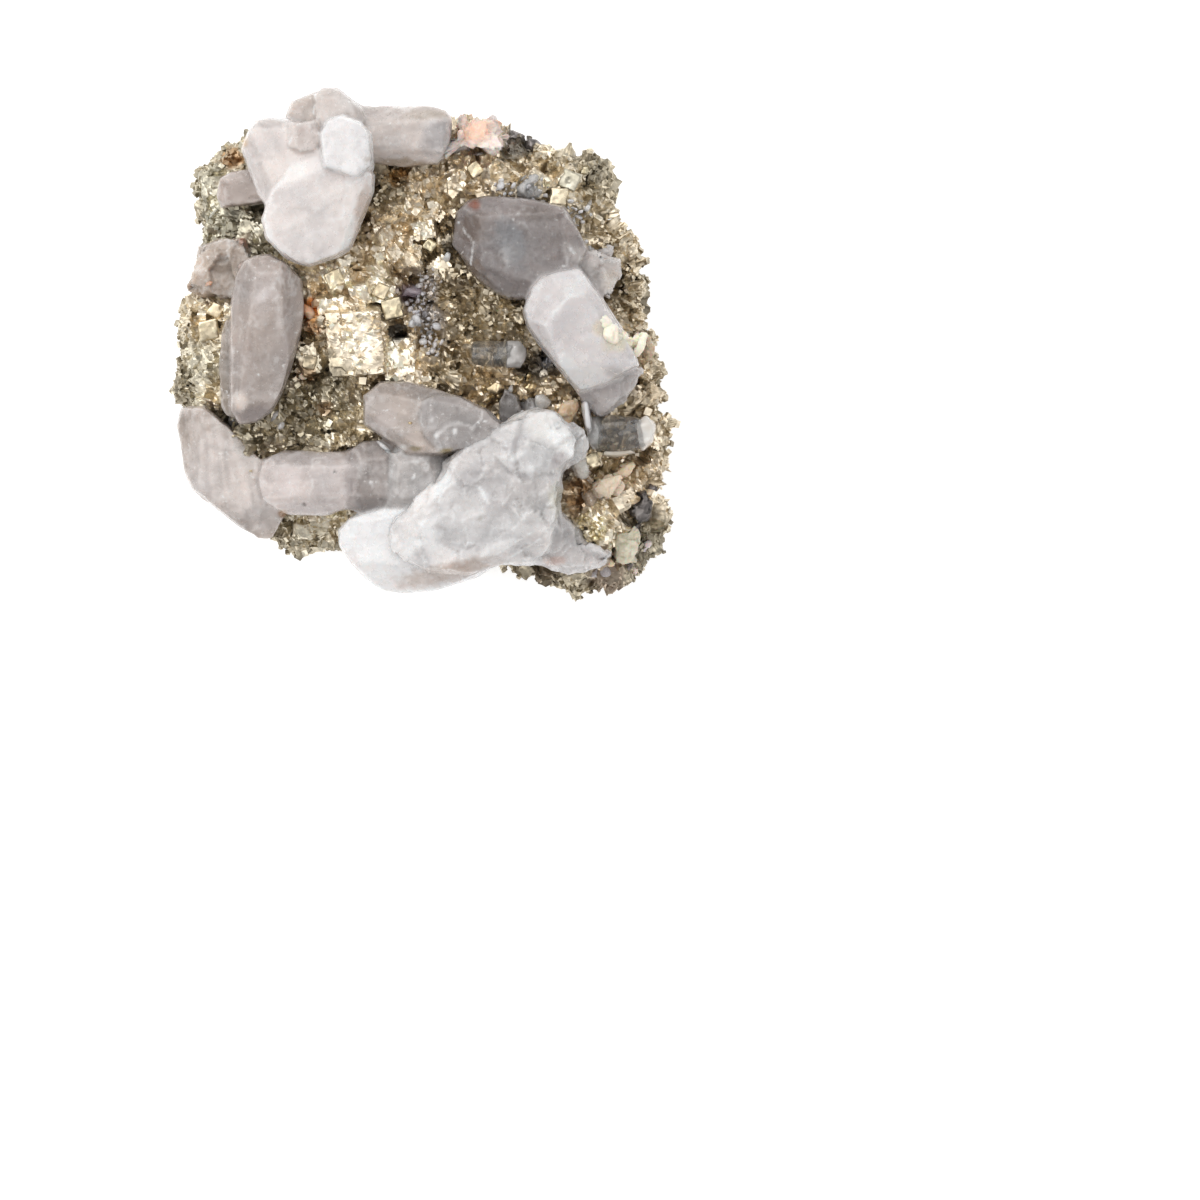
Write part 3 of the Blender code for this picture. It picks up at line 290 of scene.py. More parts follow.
pyrite = {
    "cubeSeed": 41,
    "upperCubes": 62,
    "flankCubes": 34,
    "cubeSides": (1.8, 4.2),
    "cubeDepth": 6.0,              # noted cubes reach at least this far into the rock
    "waves": [(8.5, 0.9), (4.2, 0.8), (1.8, 0.25)],      # size and height of the uneven ground
    "sunk": 0.8,
    "bigFacets": [(5.2, 0.36, 0.26), (2.5, 0.62, 0.30)],      # size, slope and step of the broken faces
    "smallFacets": [(1.25, 0.50, 0.24)],
    "cubeSmallness": 1.7,          # power that makes most of the seeded cubes small
    "cubeWidths": (0.75, 1.1),     # as shares of the side
    "cubeHeights": (0.8, 1.1),
    "cubeSinks": (0.42, 0.6),
    "flankCubeSinks": (0.6, 0.75),
    "flankCubeHeights": (3.5, 14.0),
    "cubeDisc": 0.74,              # share of the upper side's area that may carry them
    "cubeTilt": 0.6,               # in radians
    "cubeLevels": [(2.6, 0.10), (1.4, 0.12)],                 # lattice size, share of cells filled
    "grainHalf": (0.20, 0.34, 1.5),        # half side as a share of the cell: least, range, power
    "grainJitter": 0.7,
    "grainReach": 0.5,
    "upperGrid": 314,
    "upperLevel": 1.3,             # how far the upper net reaches down the flank
    "flankGrid": (108, 660),
    "flankLevels": (1.12, 2.97),
    "underRows": 40,
    "flankStrength": 0.7,
    "caps": [(0.0, 0.0, 6.0), (0.0, 0.0, 9.0), (0.0, 0.0, 0.0)],      # tips that close the two nets
    "colours": [(98, 89, 75), (150, 136, 116), (194, 178, 152), (236, 221, 198), (255, 245, 226)],
    "toneShare": 0.42,             # a grain's own number and the place's shine set its step
    "shineShare": 0.95,
    "darker": 0.14,
    "patches": (2.4, 0.16),        # size and strength
    "lowShade": 0.20,              # painted shade: how much darker it is in the hollows
    "flankHeights": (15.0, 8.0),
    "flankShine": 0.42,
    "flankGrey": 0.4,
    "greyShare": 0.75,
    "greyTint": (0.92, 0.95, 0.80),
    "toneSalt": 80,
    # x, y, brightness, greyness: how shiny the pyrite is from place to place
    "shine": [
        (-9.0, -0.5, 0.9, 0.0), (-2.8, -3.0, 0.86, 0.0), (-12.0, 8.0, 0.9, 0.0), (-5.0, 8.5, 0.9, 0.1),
        (-3.0, 14.0, 0.9, 0.0), (0.0, 19.0, 0.75, 0.1), (-5.0, 21.5, 0.45, 0.3), (6.0, 24.0, 0.75, 0.1),
        (12.0, 26.0, 0.7, 0.2), (20.0, 22.0, 0.85, 0.2), (24.5, 24.0, 0.4, 0.5), (27.0, 20.0, 0.5, 0.3),
        (27.0, 14.5, 0.64, 0.2), (31.0, 9.0, 0.62, 0.2), (32.0, 4.0, 0.62, 0.2), (32.5, -8.0, 0.55, 0.1),
        (34.0, -14.5, 0.6, 0.1), (30.0, -18.0, 0.6, 0.0), (24.5, -16.5, 0.75, 0.2), (24.0, -26.5, 0.8, 0.3),
        (29.0, -23.0, 0.7, 0.1), (32.0, -29.5, 0.3, 0.6), (19.0, -33.0, 0.35, 0.4), (10.0, -7.0, 0.7, 0.0),
        (15.5, -6.0, 0.6, 0.1), (2.5, -5.0, 0.6, 0.2), (8.0, 3.5, 0.5, 0.3), (13.0, 3.0, 0.44, 0.3),
        (4.0, 5.5, 0.5, 0.2), (1.0, 11.0, 0.6, 0.2), (-14.0, -6.0, 0.5, 0.5), (-13.0, -10.5, 0.6, 0.5),
        (-20.0, -13.5, 0.5, 0.4), (-9.0, -13.5, 0.45, 0.3), (-29.5, 2.5, 0.74, 0.2),
        (-30.5, -3.5, 0.5, 0.6), (-28.5, -7.5, 0.7, 0.2), (-32.5, -8.5, 0.5, 0.6), (-27.5, -13.0, 0.4, 0.6),
        (-31.0, 20.0, 0.56, 0.7), (-28.0, 25.5, 0.54, 0.7), (-29.5, 15.5, 0.5, 0.8),
        (-24.0, 16.0, 0.46, 0.7), (-12.0, -27.0, 0.8, 0.3), (-16.5, -27.5, 0.78, 0.5),
        (-14.0, -29.5, 0.58, 0.7),
    ],
    # x, y, radius: where the surface is smooth and close-grained
    "calm": [
        (-30.5, 21.0, 4.5), (-28.5, 25.5, 3.5), (-30.5, 15.0, 3.5), (-26.0, 16.5, 3.0), (-31.5, -2.5, 3.0),
        (-33.0, -8.0, 3.0), (-16.0, -28.5, 4.5),
    ],
    # x, y, radius, colour, strength: stains and coatings, and painted shade: the two darkest, at (-3.5, 1.0)
    # and (4.0, 13.0), fill the pits there
    "stainsAndPitShade": [
        (-3.5, 1.0, 1.3, (34, 30, 27), 0.9), (4.0, 13.0, 1.3, (58, 50, 40), 0.7),
        (-15.8, 4.2, 1.6, (222, 160, 92), 0.9), (-15.2, 1.5, 1.2, (196, 140, 84), 0.6),
        (-28.6, 7.6, 1.3, (178, 112, 60), 0.9), (-26.4, 25.4, 1.5, (170, 122, 66), 0.6),
        (-3.0, 23.4, 1.6, (176, 134, 70), 0.6), (-16.0, -4.6, 1.5, (150, 112, 70), 0.6),
        (-13.6, -9.6, 1.2, (160, 120, 80), 0.5), (-9.6, 22.0, 2.4, (134, 104, 60), 0.5),
        (21.5, -21.5, 2.8, (172, 140, 104), 0.65), (-1.8, 6.8, 1.6, (118, 96, 104), 0.75),
        (0.9, 3.0, 2.3, (206, 202, 202), 0.6), (0.8, 7.6, 1.7, (208, 200, 196), 0.6),
        (13.4, 27.6, 2.4, (92, 90, 90), 0.7), (17.0, -32.4, 2.2, (110, 92, 76), 0.5),
        (26.0, -33.0, 3.0, (118, 92, 84), 0.5), (17.5, -2.6, 2.2, (66, 66, 70), 0.8),
        (14.5, -4.6, 1.4, (70, 68, 66), 0.6),
    ],
    # x, y, radius, depth: holes
    "pits": [
        (-3.6, 1.0, 1.6, 3.2), (-13.6, 7.0, 1.2, 2.0), (3.4, 14.8, 1.5, 1.8), (4.6, 12.4, 1.3, 1.6),
        (-27.0, -11.5, 1.4, 1.4), (18.0, 24.4, 1.0, 1.0), (-8.6, 18.4, 1.2, 1.2),
    ],
}


def turned(tilt, lean, turn):
    return np.array(Euler((math.radians(tilt), math.radians(lean), math.radians(turn))).to_matrix())


def namedCubes():
    # The larger cubes: centre, half sides and turn of each; the noted ones first, then seeded ones
    # at random places of the upper side and the flank, clear of the crystals
    cubes = []
    for x, y, rise, sides, turn, tilt in notedCubes:
        top = float(rockHeight(np.array([x]), np.array([y]))[0]) - pyrite["sunk"] + rise
        half = np.array((sides[0], sides[1], max(sides[2], pyrite["cubeDepth"]))) / 2
        matrix = turned(tilt, -0.7 * tilt, turn)
        cubes.append((np.array((x, y, top)) - matrix[:, 2] * half[2], half, matrix))
    pick = random.Random(pyrite["cubeSeed"])
    low, high = pyrite["cubeSides"]
    made = 0
    while made < pyrite["upperCubes"] + pyrite["flankCubes"]:
        angle = pick.uniform(0.0, math.tau)
        if made >= pyrite["upperCubes"]:
            angle = math.tau * (made - pyrite["upperCubes"] + pick.random()) / pyrite["flankCubes"]
        radius = float(rimRadius(angle))
        side = low + (high - low) * pick.random() ** pyrite["cubeSmallness"]
        sides = (side, side * pick.uniform(*pyrite["cubeWidths"]),
                 side * pick.uniform(*pyrite["cubeHeights"]))
        if made < pyrite["upperCubes"]:
            share = math.sqrt(pick.uniform(0.0, pyrite["cubeDisc"]))
            reach = radius * share
            spot = np.array([reach * math.cos(angle), reach * math.sin(angle)])
            if underCrystal(spot[:1], spot[1:])[0]:
                continue
            height = float(rockHeight(spot[:1], spot[1:])[0])
            height -= float(edgeDrop(share)) + side * pick.uniform(*pyrite["cubeSinks"])
        else:
            height = pick.uniform(*pyrite["flankCubeHeights"])
            inward = 0.05 * max(0.0, 7.0 - height) ** 2
            reach = radius - side * pick.uniform(*pyrite["flankCubeSinks"]) - inward
        centre = (reach * math.cos(angle), reach * math.sin(angle), height)
        tilt = pyrite["cubeTilt"]
        turn = Euler([pick.uniform(-tilt, tilt), pick.uniform(-tilt, tilt), pick.uniform(0.0, math.pi)])
        cubes.append((centre, np.array(sides) / 2, np.array(turn.to_matrix())))
        made += 1
    return cubes


def leavesBox(offset, direction, half):
    # How far along a line a point inside or under a box has to go to come out of it: the least
    # exit over the three pairs of faces, kept where the line meets the box at all
    direction = np.where(np.abs(direction) < 1e-6, 1e-6, direction)
    ahead = half * np.sign(direction)
    leave = ((ahead - offset) / direction).min(axis=-1)
    enter = ((-ahead - offset) / direction).max(axis=-1)
    return np.where((leave > enter) & (leave > 0.0), leave, 0.0)


def raiseNamedCubes(points, normals, tone, cubes):
    reach = np.zeros(len(points))
    for number, (centre, half, turn) in enumerate(cubes):
        gap = points - np.array(centre)
        near = np.nonzero((gap ** 2).sum(axis=-1) < (half ** 2).sum() * 1.6)[0]
        if len(near) == 0:
            continue
        height = leavesBox(gap[near] @ turn, normals[near] @ turn, half)
        higher = height > reach[near]
        reach[near[higher]] = height[higher]
        tone[near[higher]] = (number * 0.37) % 1.0
    return points + normals * reach[:, None], tone


def breakFaces(points, normals, tone, size, slope, step, strength, salt):
    # The nearest of the jittered centres of a lattice in space gives each point its face: a flat
    # slope of random direction through the centre, and a random step up or down
    base = np.floor(points / size).astype(np.int64)
    nearest = np.full(len(points), np.inf)
    owner = np.zeros_like(base)
    reach = np.zeros_like(points)
    for shift in product((-1, 0, 1), repeat=3):
        cells = base + np.array(shift)
        jitter = np.stack([cellRandom(cells, salt + n) for n in range(3)], axis=-1) - 0.5
        gap = points - (cells + 0.5 + 0.85 * jitter) * size
        distance = (gap ** 2).sum(axis=-1)
        nearer = distance < nearest
        nearest[nearer] = distance[nearer]
        owner[nearer] = cells[nearer]
        reach[nearer] = gap[nearer]
    lean = np.stack([cellRandom(owner, salt + 3 + n) for n in range(3)], axis=-1) * 2.0 - 1.0
    lean -= normals * (lean * normals).sum(axis=-1, keepdims=True)
    move = slope * (lean * reach).sum(axis=-1) + step * size * (cellRandom(owner, salt + 6) - 0.5)
    tone = 0.55 * tone + 0.45 * cellRandom(owner, salt + 7)
    return points + normals * (strength * move)[:, None], tone


def raiseGrains(points, normals, tone, size, filled, salt):
    # Every cell of a lattice in space may hold one turned box. The surface moves out along its
    # normal to where that line leaves the farthest box it meets.
    least, spread, power = pyrite["grainHalf"]
    reach = np.zeros(len(points))
    base = np.floor(points / size).astype(np.int64)
    for shift in product((-1, 0, 1), repeat=3):
        cells = base + np.array(shift)
        chosen = np.nonzero(cellRandom(cells, salt) < filled)[0]
        cells = cells[chosen]
        draws = [cellRandom(cells, salt + 1 + n) for n in range(10)]
        jitter = pyrite["grainJitter"] * (np.stack(draws[0:3], axis=-1) - 0.5)
        centre = (cells + 0.5 + jitter) * size
        half = size * (least + spread * draws[3] ** power)[:, None]
        half = half * (0.75 + 0.4 * np.stack(draws[4:7], axis=-1))
        turn = turnMatrices(draws[7], draws[8], draws[9])
        gap = points[chosen] - centre
        sunk = np.einsum("ij,ij->i", gap, normals[chosen]) > -0.35 * half[:, 0]
        offset = np.einsum("ij,ijk->ik", gap, turn)
        direction = np.einsum("ij,ijk->ik", normals[chosen], turn)
        height = np.where(sunk, leavesBox(offset, direction, half), 0.0)
        height = np.minimum(height, pyrite["grainReach"] * size)
        higher = height > reach[chosen]
        reach[chosen[higher]] = height[higher]
        tone[chosen[higher]] = cellRandom(cells[higher], salt + 20)
    return points + normals * reach[:, None], tone


def pyriteTone(points, tone, relief):
    # Colour of each face: from dark brown to cream by its grain's random number, moved up by the
    # place's shine and towards grey-green by its greyness, with painted shade where it lies low, then
    # stained, with painted shade in the pits
    salt = pyrite["toneSalt"]
    steps = np.array([linearColour(*colour) for colour in pyrite["colours"]])
    shine = nearMean(pyrite["shine"], points[:, 0], points[:, 1], 2)
    grey = nearMean(pyrite["shine"], points[:, 0], points[:, 1], 3)
    flank = smoothStep(*pyrite["flankHeights"], points[:, 2])
    shine = shine * (1 - flank) + pyrite["flankShine"] * flank
    grey = pyrite["greyShare"] * (grey * (1 - flank) + pyrite["flankGrey"] * flank)[:, None]
    size, strength = pyrite["patches"]
    patchy = cloud(points, size, salt) * strength
    # Painted shade: darker where the surface lies low, in the hollows
    low = pyrite["lowShade"] * smoothStep(0.1, -0.9, relief + 0.25 * cloud(points, 1.3, salt + 6))
    bright = pyrite["toneShare"] * tone + pyrite["shineShare"] * shine - pyrite["darker"] + patchy - low
    level = np.clip(bright, 0.0, 1.0) * (len(steps) - 1)
    below = np.minimum(level.astype(int), len(steps) - 2)
    part = (level - below)[:, None]
    colour = steps[below] * (1 - part) + steps[below + 1] * part
    dull = colour.mean(axis=-1, keepdims=True) * np.array(pyrite["greyTint"])
    colour = colour * (1 - grey) + dull * grey
    ragged = 1.0 + 0.35 * cloud(points, 0.9, salt + 3) + 0.2 * cloud(points, 2.2, salt + 4)
    # Stains and coatings, and painted shade in the pits
    for x, y, radius, stainAndShadeColour, strength in pyrite["stainsAndPitShade"]:
        gap = np.hypot(points[:, 0] - x, points[:, 1] - y) / radius
        share = (strength * smoothStep(1.25, 0.55, gap * ragged))[:, None]
        colour = colour * (1 - share) + linearColour(*stainAndShadeColour) * share
    return colour


def rockGround(points, normals):
    # The smooth form, sunk a little and made uneven by waves of noise, with the noted holes
    move = np.full(len(points), -pyrite["sunk"])
    for salt, (size, height) in enumerate(pyrite["waves"]):
        move += height * cloud(points, size, 60 + salt)
    for x, y, radius, depth in pyrite["pits"]:
        gap = np.hypot(points[:, 0] - x, points[:, 1] - y) / radius
        move -= depth * smoothStep(1.3, 0.4, gap) * smoothStep(0.2, 0.8, normals[:, 2])
    return points + normals * move[:, None]


def calmShare(points):
    # 1 in the middle of a calm place and 0 outside all of them
    calm = np.zeros(len(points))
    for x, y, radius in pyrite["calm"]:
        gap = np.hypot(points[:, 0] - x, points[:, 1] - y) / radius
        calm = np.maximum(calm, smoothStep(1.2, 0.6, gap))
    return calm


def grownPyrite(points, normals, cubes, strength):
    # Uneven ground, broken into large faces, with the cubes on it, broken again into small faces
    smooth = points
    tone = 0.5 + 0.3 * cloud(points, 1.6, 71)
    points = rockGround(points, normals)
    strength = strength * (1.0 - 0.5 * calmShare(points))
    for number, facets in enumerate(pyrite["bigFacets"]):
        points, tone = breakFaces(points, normals, tone, *facets, strength, 300 + 20 * number)
    before = points
    points, tone = raiseNamedCubes(points, normals, tone, cubes)
    for number, (size, filled) in enumerate(pyrite["cubeLevels"]):
        points, tone = raiseGrains(points, normals, tone, size, filled * strength, 100 + 40 * number)
    onCube = smoothStep(0.1, 0.6, ((points - before) * normals).sum(axis=-1))
    strength = strength * (1.0 - 0.6 * onCube)
    for number, facets in enumerate(pyrite["smallFacets"]):
        points, tone = breakFaces(points, normals, tone, *facets, strength, 400 + 20 * number)
    relief = ((points - smooth) * normals).sum(axis=-1) + pyrite["sunk"]
    points[:, 2] = np.maximum(points[:, 2], 0.0)
    return points, tone, relief


def paintedRock(points, caps, quads, triangles, tone, relief):
    # The net with its closing tips, each face in the colour of its first point
    everyPoint = np.concatenate([points, caps])
    colour = pyriteTone(everyPoint, np.append(tone, [0.5] * len(caps)), np.append(relief, [0.0] * len(caps)))
    faceTone = np.concatenate([colour[quads[:, 0]], colour[triangles[:, 0]]])
    return closedSurface(everyPoint, quads, triangles, None, faceTone)


def upperRock(cubes):
    # A square grid drawn out to a disc, x = a root(1 - b2/2), y = b root(1 - a2/2), laid on the
    # rock's skin from the middle to a little way down the flank; a tip inside closes it
    count = pyrite["upperGrid"]
    a, b = np.meshgrid(np.linspace(-1, 1, count), np.linspace(-1, 1, count), indexing="ij")
    x = a * np.sqrt(1.0 - b * b / 2.0)
    y = b * np.sqrt(1.0 - a * a / 2.0)
    smooth = rockSkin(pyrite["upperLevel"] * np.hypot(x, y), np.arctan2(y, x))
    normals = gridNormals(smooth).reshape(-1, 3)
    points, tone, relief = grownPyrite(smooth.reshape(-1, 3), normals, cubes, 1.0)
    index = np.arange(count * count).reshape(count, count)
    ring = np.concatenate([index[0, :-1], index[:-1, -1], index[-1, :0:-1], index[:0:-1, 0]])
    quads, triangles = gridFaces(count, count), fanFaces(ring, count * count)
    surface = paintedRock(points, pyrite["caps"][:1], quads, triangles, tone, relief)
    return surface, points, normals


def lowerRock(cubes):
    # Rings round the rock from the top of the flank to the middle of the underside, closed by a
    # tip inside and one at the foot
    rows, columns = pyrite["flankGrid"]
    first, last = pyrite["flankLevels"]
    under = pyrite["underRows"]
    level = np.concatenate([np.linspace(first, 2.0, rows - under), np.linspace(2.0, last, under + 1)[1:]])
    angle = np.linspace(0.0, math.tau, columns, endpoint=False)
    smooth = rockSkin(*np.meshgrid(level, angle, indexing="ij"))
    normals = gridNormals(smooth, wrapped=True).reshape(-1, 3)
    points, tone, relief = grownPyrite(smooth.reshape(-1, 3), normals, cubes, pyrite["flankStrength"])
    index = np.arange(rows * columns).reshape(rows, columns)
    quads = gridFaces(rows, columns, wrapped=True)
    triangles = np.concatenate([fanFaces(index[0, ::-1], rows * columns),
                                fanFaces(index[-1], rows * columns + 1)])
    surface = paintedRock(points, pyrite["caps"][1:], quads, triangles, tone, relief)
    return surface, points, normals


looseGrain = {
    "sides": (0.25, 1.0),          # smallest and largest
    "smallness": 2.6,              # power that makes most of them small
    "shape": (0.7, 1.15),
    "bent": 0.09,                  # how far a corner is moved, as a share of the side
    "out": (-0.15, 0.3),
    "upper": (2300, 5),            # number and seed
    "flank": (2200, 6),
}
boxCorners = np.array(list(product((-0.5, 0.5), repeat=3)))
boxQuads = np.array([(0, 1, 3, 2), (4, 6, 7, 5), (0, 4, 5, 1), (2, 3, 7, 6), (0, 2, 6, 4), (1, 5, 7, 3)])


def looseGrains(points, normals, allowed, count, seed):
    # Small six-sided grains half sunk in the surface at random points of it: a unit box with
    # moved corners, scaled, turned and carried to each place
    draw = np.random.default_rng(seed)
    places = draw.choice(np.nonzero(allowed)[0], count, replace=False)
    small, large = looseGrain["sides"]
    size = small + (large - small) * draw.random(count) ** looseGrain["smallness"]
    scale = size[:, None] * draw.uniform(*looseGrain["shape"], (count, 3))
    turn = turnMatrices(draw.random(count), draw.random(count), draw.random(count))
    bent = looseGrain["bent"]
    corners = boxCorners[None] + draw.uniform(-bent, bent, (count, 8, 3))
    shapes = np.einsum("nij,nkj->nik", corners * scale[:, None, :], turn)
    centres = points[places] + normals[places] * (size * draw.uniform(*looseGrain["out"], count))[:, None]
    grains = (centres[:, None, :] + shapes).reshape(-1, 3)
    grains[:, 2] = np.maximum(grains[:, 2], 0.02)
    quads = (np.arange(count)[:, None, None] * 8 + boxQuads[None]).reshape(-1, 4)
    tone = np.repeat(draw.random(count), 6) * 0.7 + draw.random(count * 6) * 0.35
    faceTone = pyriteTone(np.repeat(centres, 6, axis=0), tone, np.full(len(tone), 0.2))
    return closedSurface(grains, quads, np.zeros((0, 3), int), None, faceTone)


# Quartz

# Crystals: outline from above, middle, height of the top face and of the foot, which way and how
# far the top face dips, bevels (direction, distance from the middle, slope), colour and roughness.
upperLeftQuartz = {
    "bluntFront": {
        "rim": [(-22.3, 16.7), (-21.7, 14.1), (-19.2, 11.6), (-16.9, 10.4), (-15.3, 10.1), (-11.3, 11.5),
                (-9.4, 12.7), (-8.1, 16.1), (-6.4, 20.0), (-6.2, 23.1), (-10.6, 26.7), (-16.9, 26.0),
                (-20.9, 20.9)],
        "middle": (-14.8, 17.2), "top": 32.4, "foot": 19.0, "dip": (250, 6),
        "bevels": [(-25, 5.0, 46), (258, 6.4, 36), (208, 6.4, 32), (118, 5.6, 26)],
        "tone": (243, 236, 233), "lumps": 0.10, "streaks": (30, 0.04),
    },
    "upperLeft": {
        "rim": [(-25.1, 26.7), (-24.4, 28.8), (-23.0, 30.8), (-21.1, 31.2), (-18.1, 30.9), (-14.4, 28.1),
                (-12.7, 23.2), (-16.9, 20.3), (-21.3, 18.1), (-22.8, 20.2), (-24.1, 23.7)],
        "middle": (-19.0, 25.3), "top": 31.6, "foot": 17.0, "dip": (215, 5),
        "bevels": [(203, 3.0, 40), (95, 4.2, 35), (250, 5.0, 30)],
        "tone": (220, 212, 208), "lumps": 0.10, "streaks": (120, 0.06),
    },
    "smallBetween": {
        "rim": [(-18.5, 30.4), (-14.2, 30.7), (-13.6, 28.1), (-14.4, 26.0), (-16.9, 25.6), (-18.6, 26.7)],
        "middle": (-16.0, 28.1), "top": 32.8, "foot": 19.0, "dip": (20, 5),
        "bevels": [(180, 1.3, 38), (85, 1.6, 40)],
        "tone": (211, 201, 196), "lumps": 0.06,
    },
    "brightEnd": {
        "rim": [(-14.2, 28.6), (-14.0, 26.0), (-13.6, 23.6), (-8.8, 22.0), (-6.3, 23.8), (-6.6, 28.6),
                (-8.0, 30.3), (-10.8, 31.4), (-13.0, 30.6)],
        "middle": (-10.6, 26.7), "top": 35.2, "foot": 20.0, "dip": (200, 2),
        "bevels": [(-5, 3.3, 50), (60, 3.1, 34), (110, 3.4, 36)],
        "tone": (240, 238, 238), "lumps": 0.06,
    },
    "topLeft": {
        "rim": [(-19.0, 31.2), (-18.2, 33.5), (-14.4, 34.9), (-13.5, 34.4), (-14.4, 30.4), (-18.6, 30.0)],
        "middle": (-16.4, 31.8), "top": 26.5, "foot": 15.0, "dip": (150, 9),
        "bevels": [(120, 1.6, 40), (235, 1.5, 30)],
        "tone": (184, 173, 165), "lumps": 0.08, "streaks": (60, 0.1),
    },
    "top": {
        "rim": [(-15.0, 34.2), (-13.7, 35.4), (-11.2, 35.4), (-9.7, 34.0), (-8.1, 32.8), (-7.4, 30.7),
                (-8.8, 27.4), (-12.7, 27.4), (-15.0, 31.2)],
        "middle": (-11.6, 31.8), "top": 28.5, "foot": 16.0, "dip": (75, 8),
        "bevels": [(95, 2.2, 42), (25, 2.4, 45), (160, 2.4, 38)],
        "tone": (197, 189, 184), "lumps": 0.08,
    },
    "longTop": {
        "rim": [(-9.2, 32.8), (1.3, 32.8), (3.6, 32.2), (4.5, 30.9), (4.3, 28.1), (3.5, 25.6), (2.4, 24.5),
                (-2.9, 24.1), (-6.9, 24.9), (-9.7, 27.0)],
        "middle": (-2.2, 28.4), "top": 27.0, "foot": 17.0, "dip": (0, 4),
        "bevels": [(92, 2.0, 46), (268, 1.6, 44), (0, 5.3, 50)],
        "tone": (211, 202, 197), "lumps": 0.12, "streaks": (2, 0.1),
    },
    "tabular": {
        "rim": [(-28.3, 22.8), (-26.7, 23.7), (-23.9, 24.2), (-21.4, 21.8), (-21.4, 19.2), (-25.3, 18.8),
                (-28.0, 18.5), (-28.7, 20.3)],
        "middle": (-25.6, 21.4), "top": 22.0, "foot": 15.0, "dip": (195, 9),
        "bevels": [(105, 1.5, 40), (190, 2.0, 45)],
        "tone": (178, 164, 156), "lumps": 0.05,
    },
}

leftQuartz = {
    "leftLong": {
        "rim": [(-26.6, 5.7), (-26.0, 9.2), (-24.9, 11.1), (-23.2, 12.0), (-21.1, 12.2), (-18.6, 10.8),
                (-16.5, 8.5), (-16.2, 4.3), (-16.8, 0.1), (-17.9, -3.4), (-18.9, -6.9), (-20.9, -10.1),
                (-23.2, -11.6), (-25.3, -11.6), (-26.6, -9.7)],
        "middle": (-21.7, 0.8), "top": 28.0, "foot": 17.0, "dip": (272, 5),
        "bevels": [(178, 2.4, 40), (2, 2.9, 46), (88, 8.6, 34), (268, 9.5, 30)],
        "tone": (181, 169, 162), "lumps": 0.16, "streaks": (85, 0.09),
    },
    "leftRough": {
        "rim": [(-32.3, 9.2), (-31.8, 11.1), (-30.9, 13.4), (-27.9, 14.7), (-24.5, 14.1), (-23.1, 11.1),
                (-24.2, 6.9), (-27.9, 6.0), (-30.9, 6.3), (-32.6, 7.4)],
        "middle": (-27.9, 10.2), "top": 20.5, "foot": 12.0, "dip": (200, 10),
        "bevels": [(120, 3.0, 30), (250, 2.6, 34)],
        "tone": (184, 168, 154), "lumps": 0.3, "broken": 1.1,
    },
    "leftStrip": {
        "rim": [(-28.0, 1.5), (-27.3, 3.2), (-25.9, 2.7), (-25.6, -5.5), (-25.9, -11.0), (-27.2, -10.4),
                (-28.0, -9.2), (-28.3, -4.1)],
        "middle": (-26.9, -4.8), "top": 23.5, "foot": 17.0, "dip": (180, 12),
        "bevels": [(270, 5.2, 35)],
        "tone": (140, 128, 116), "lumps": 0.10,
    },
}

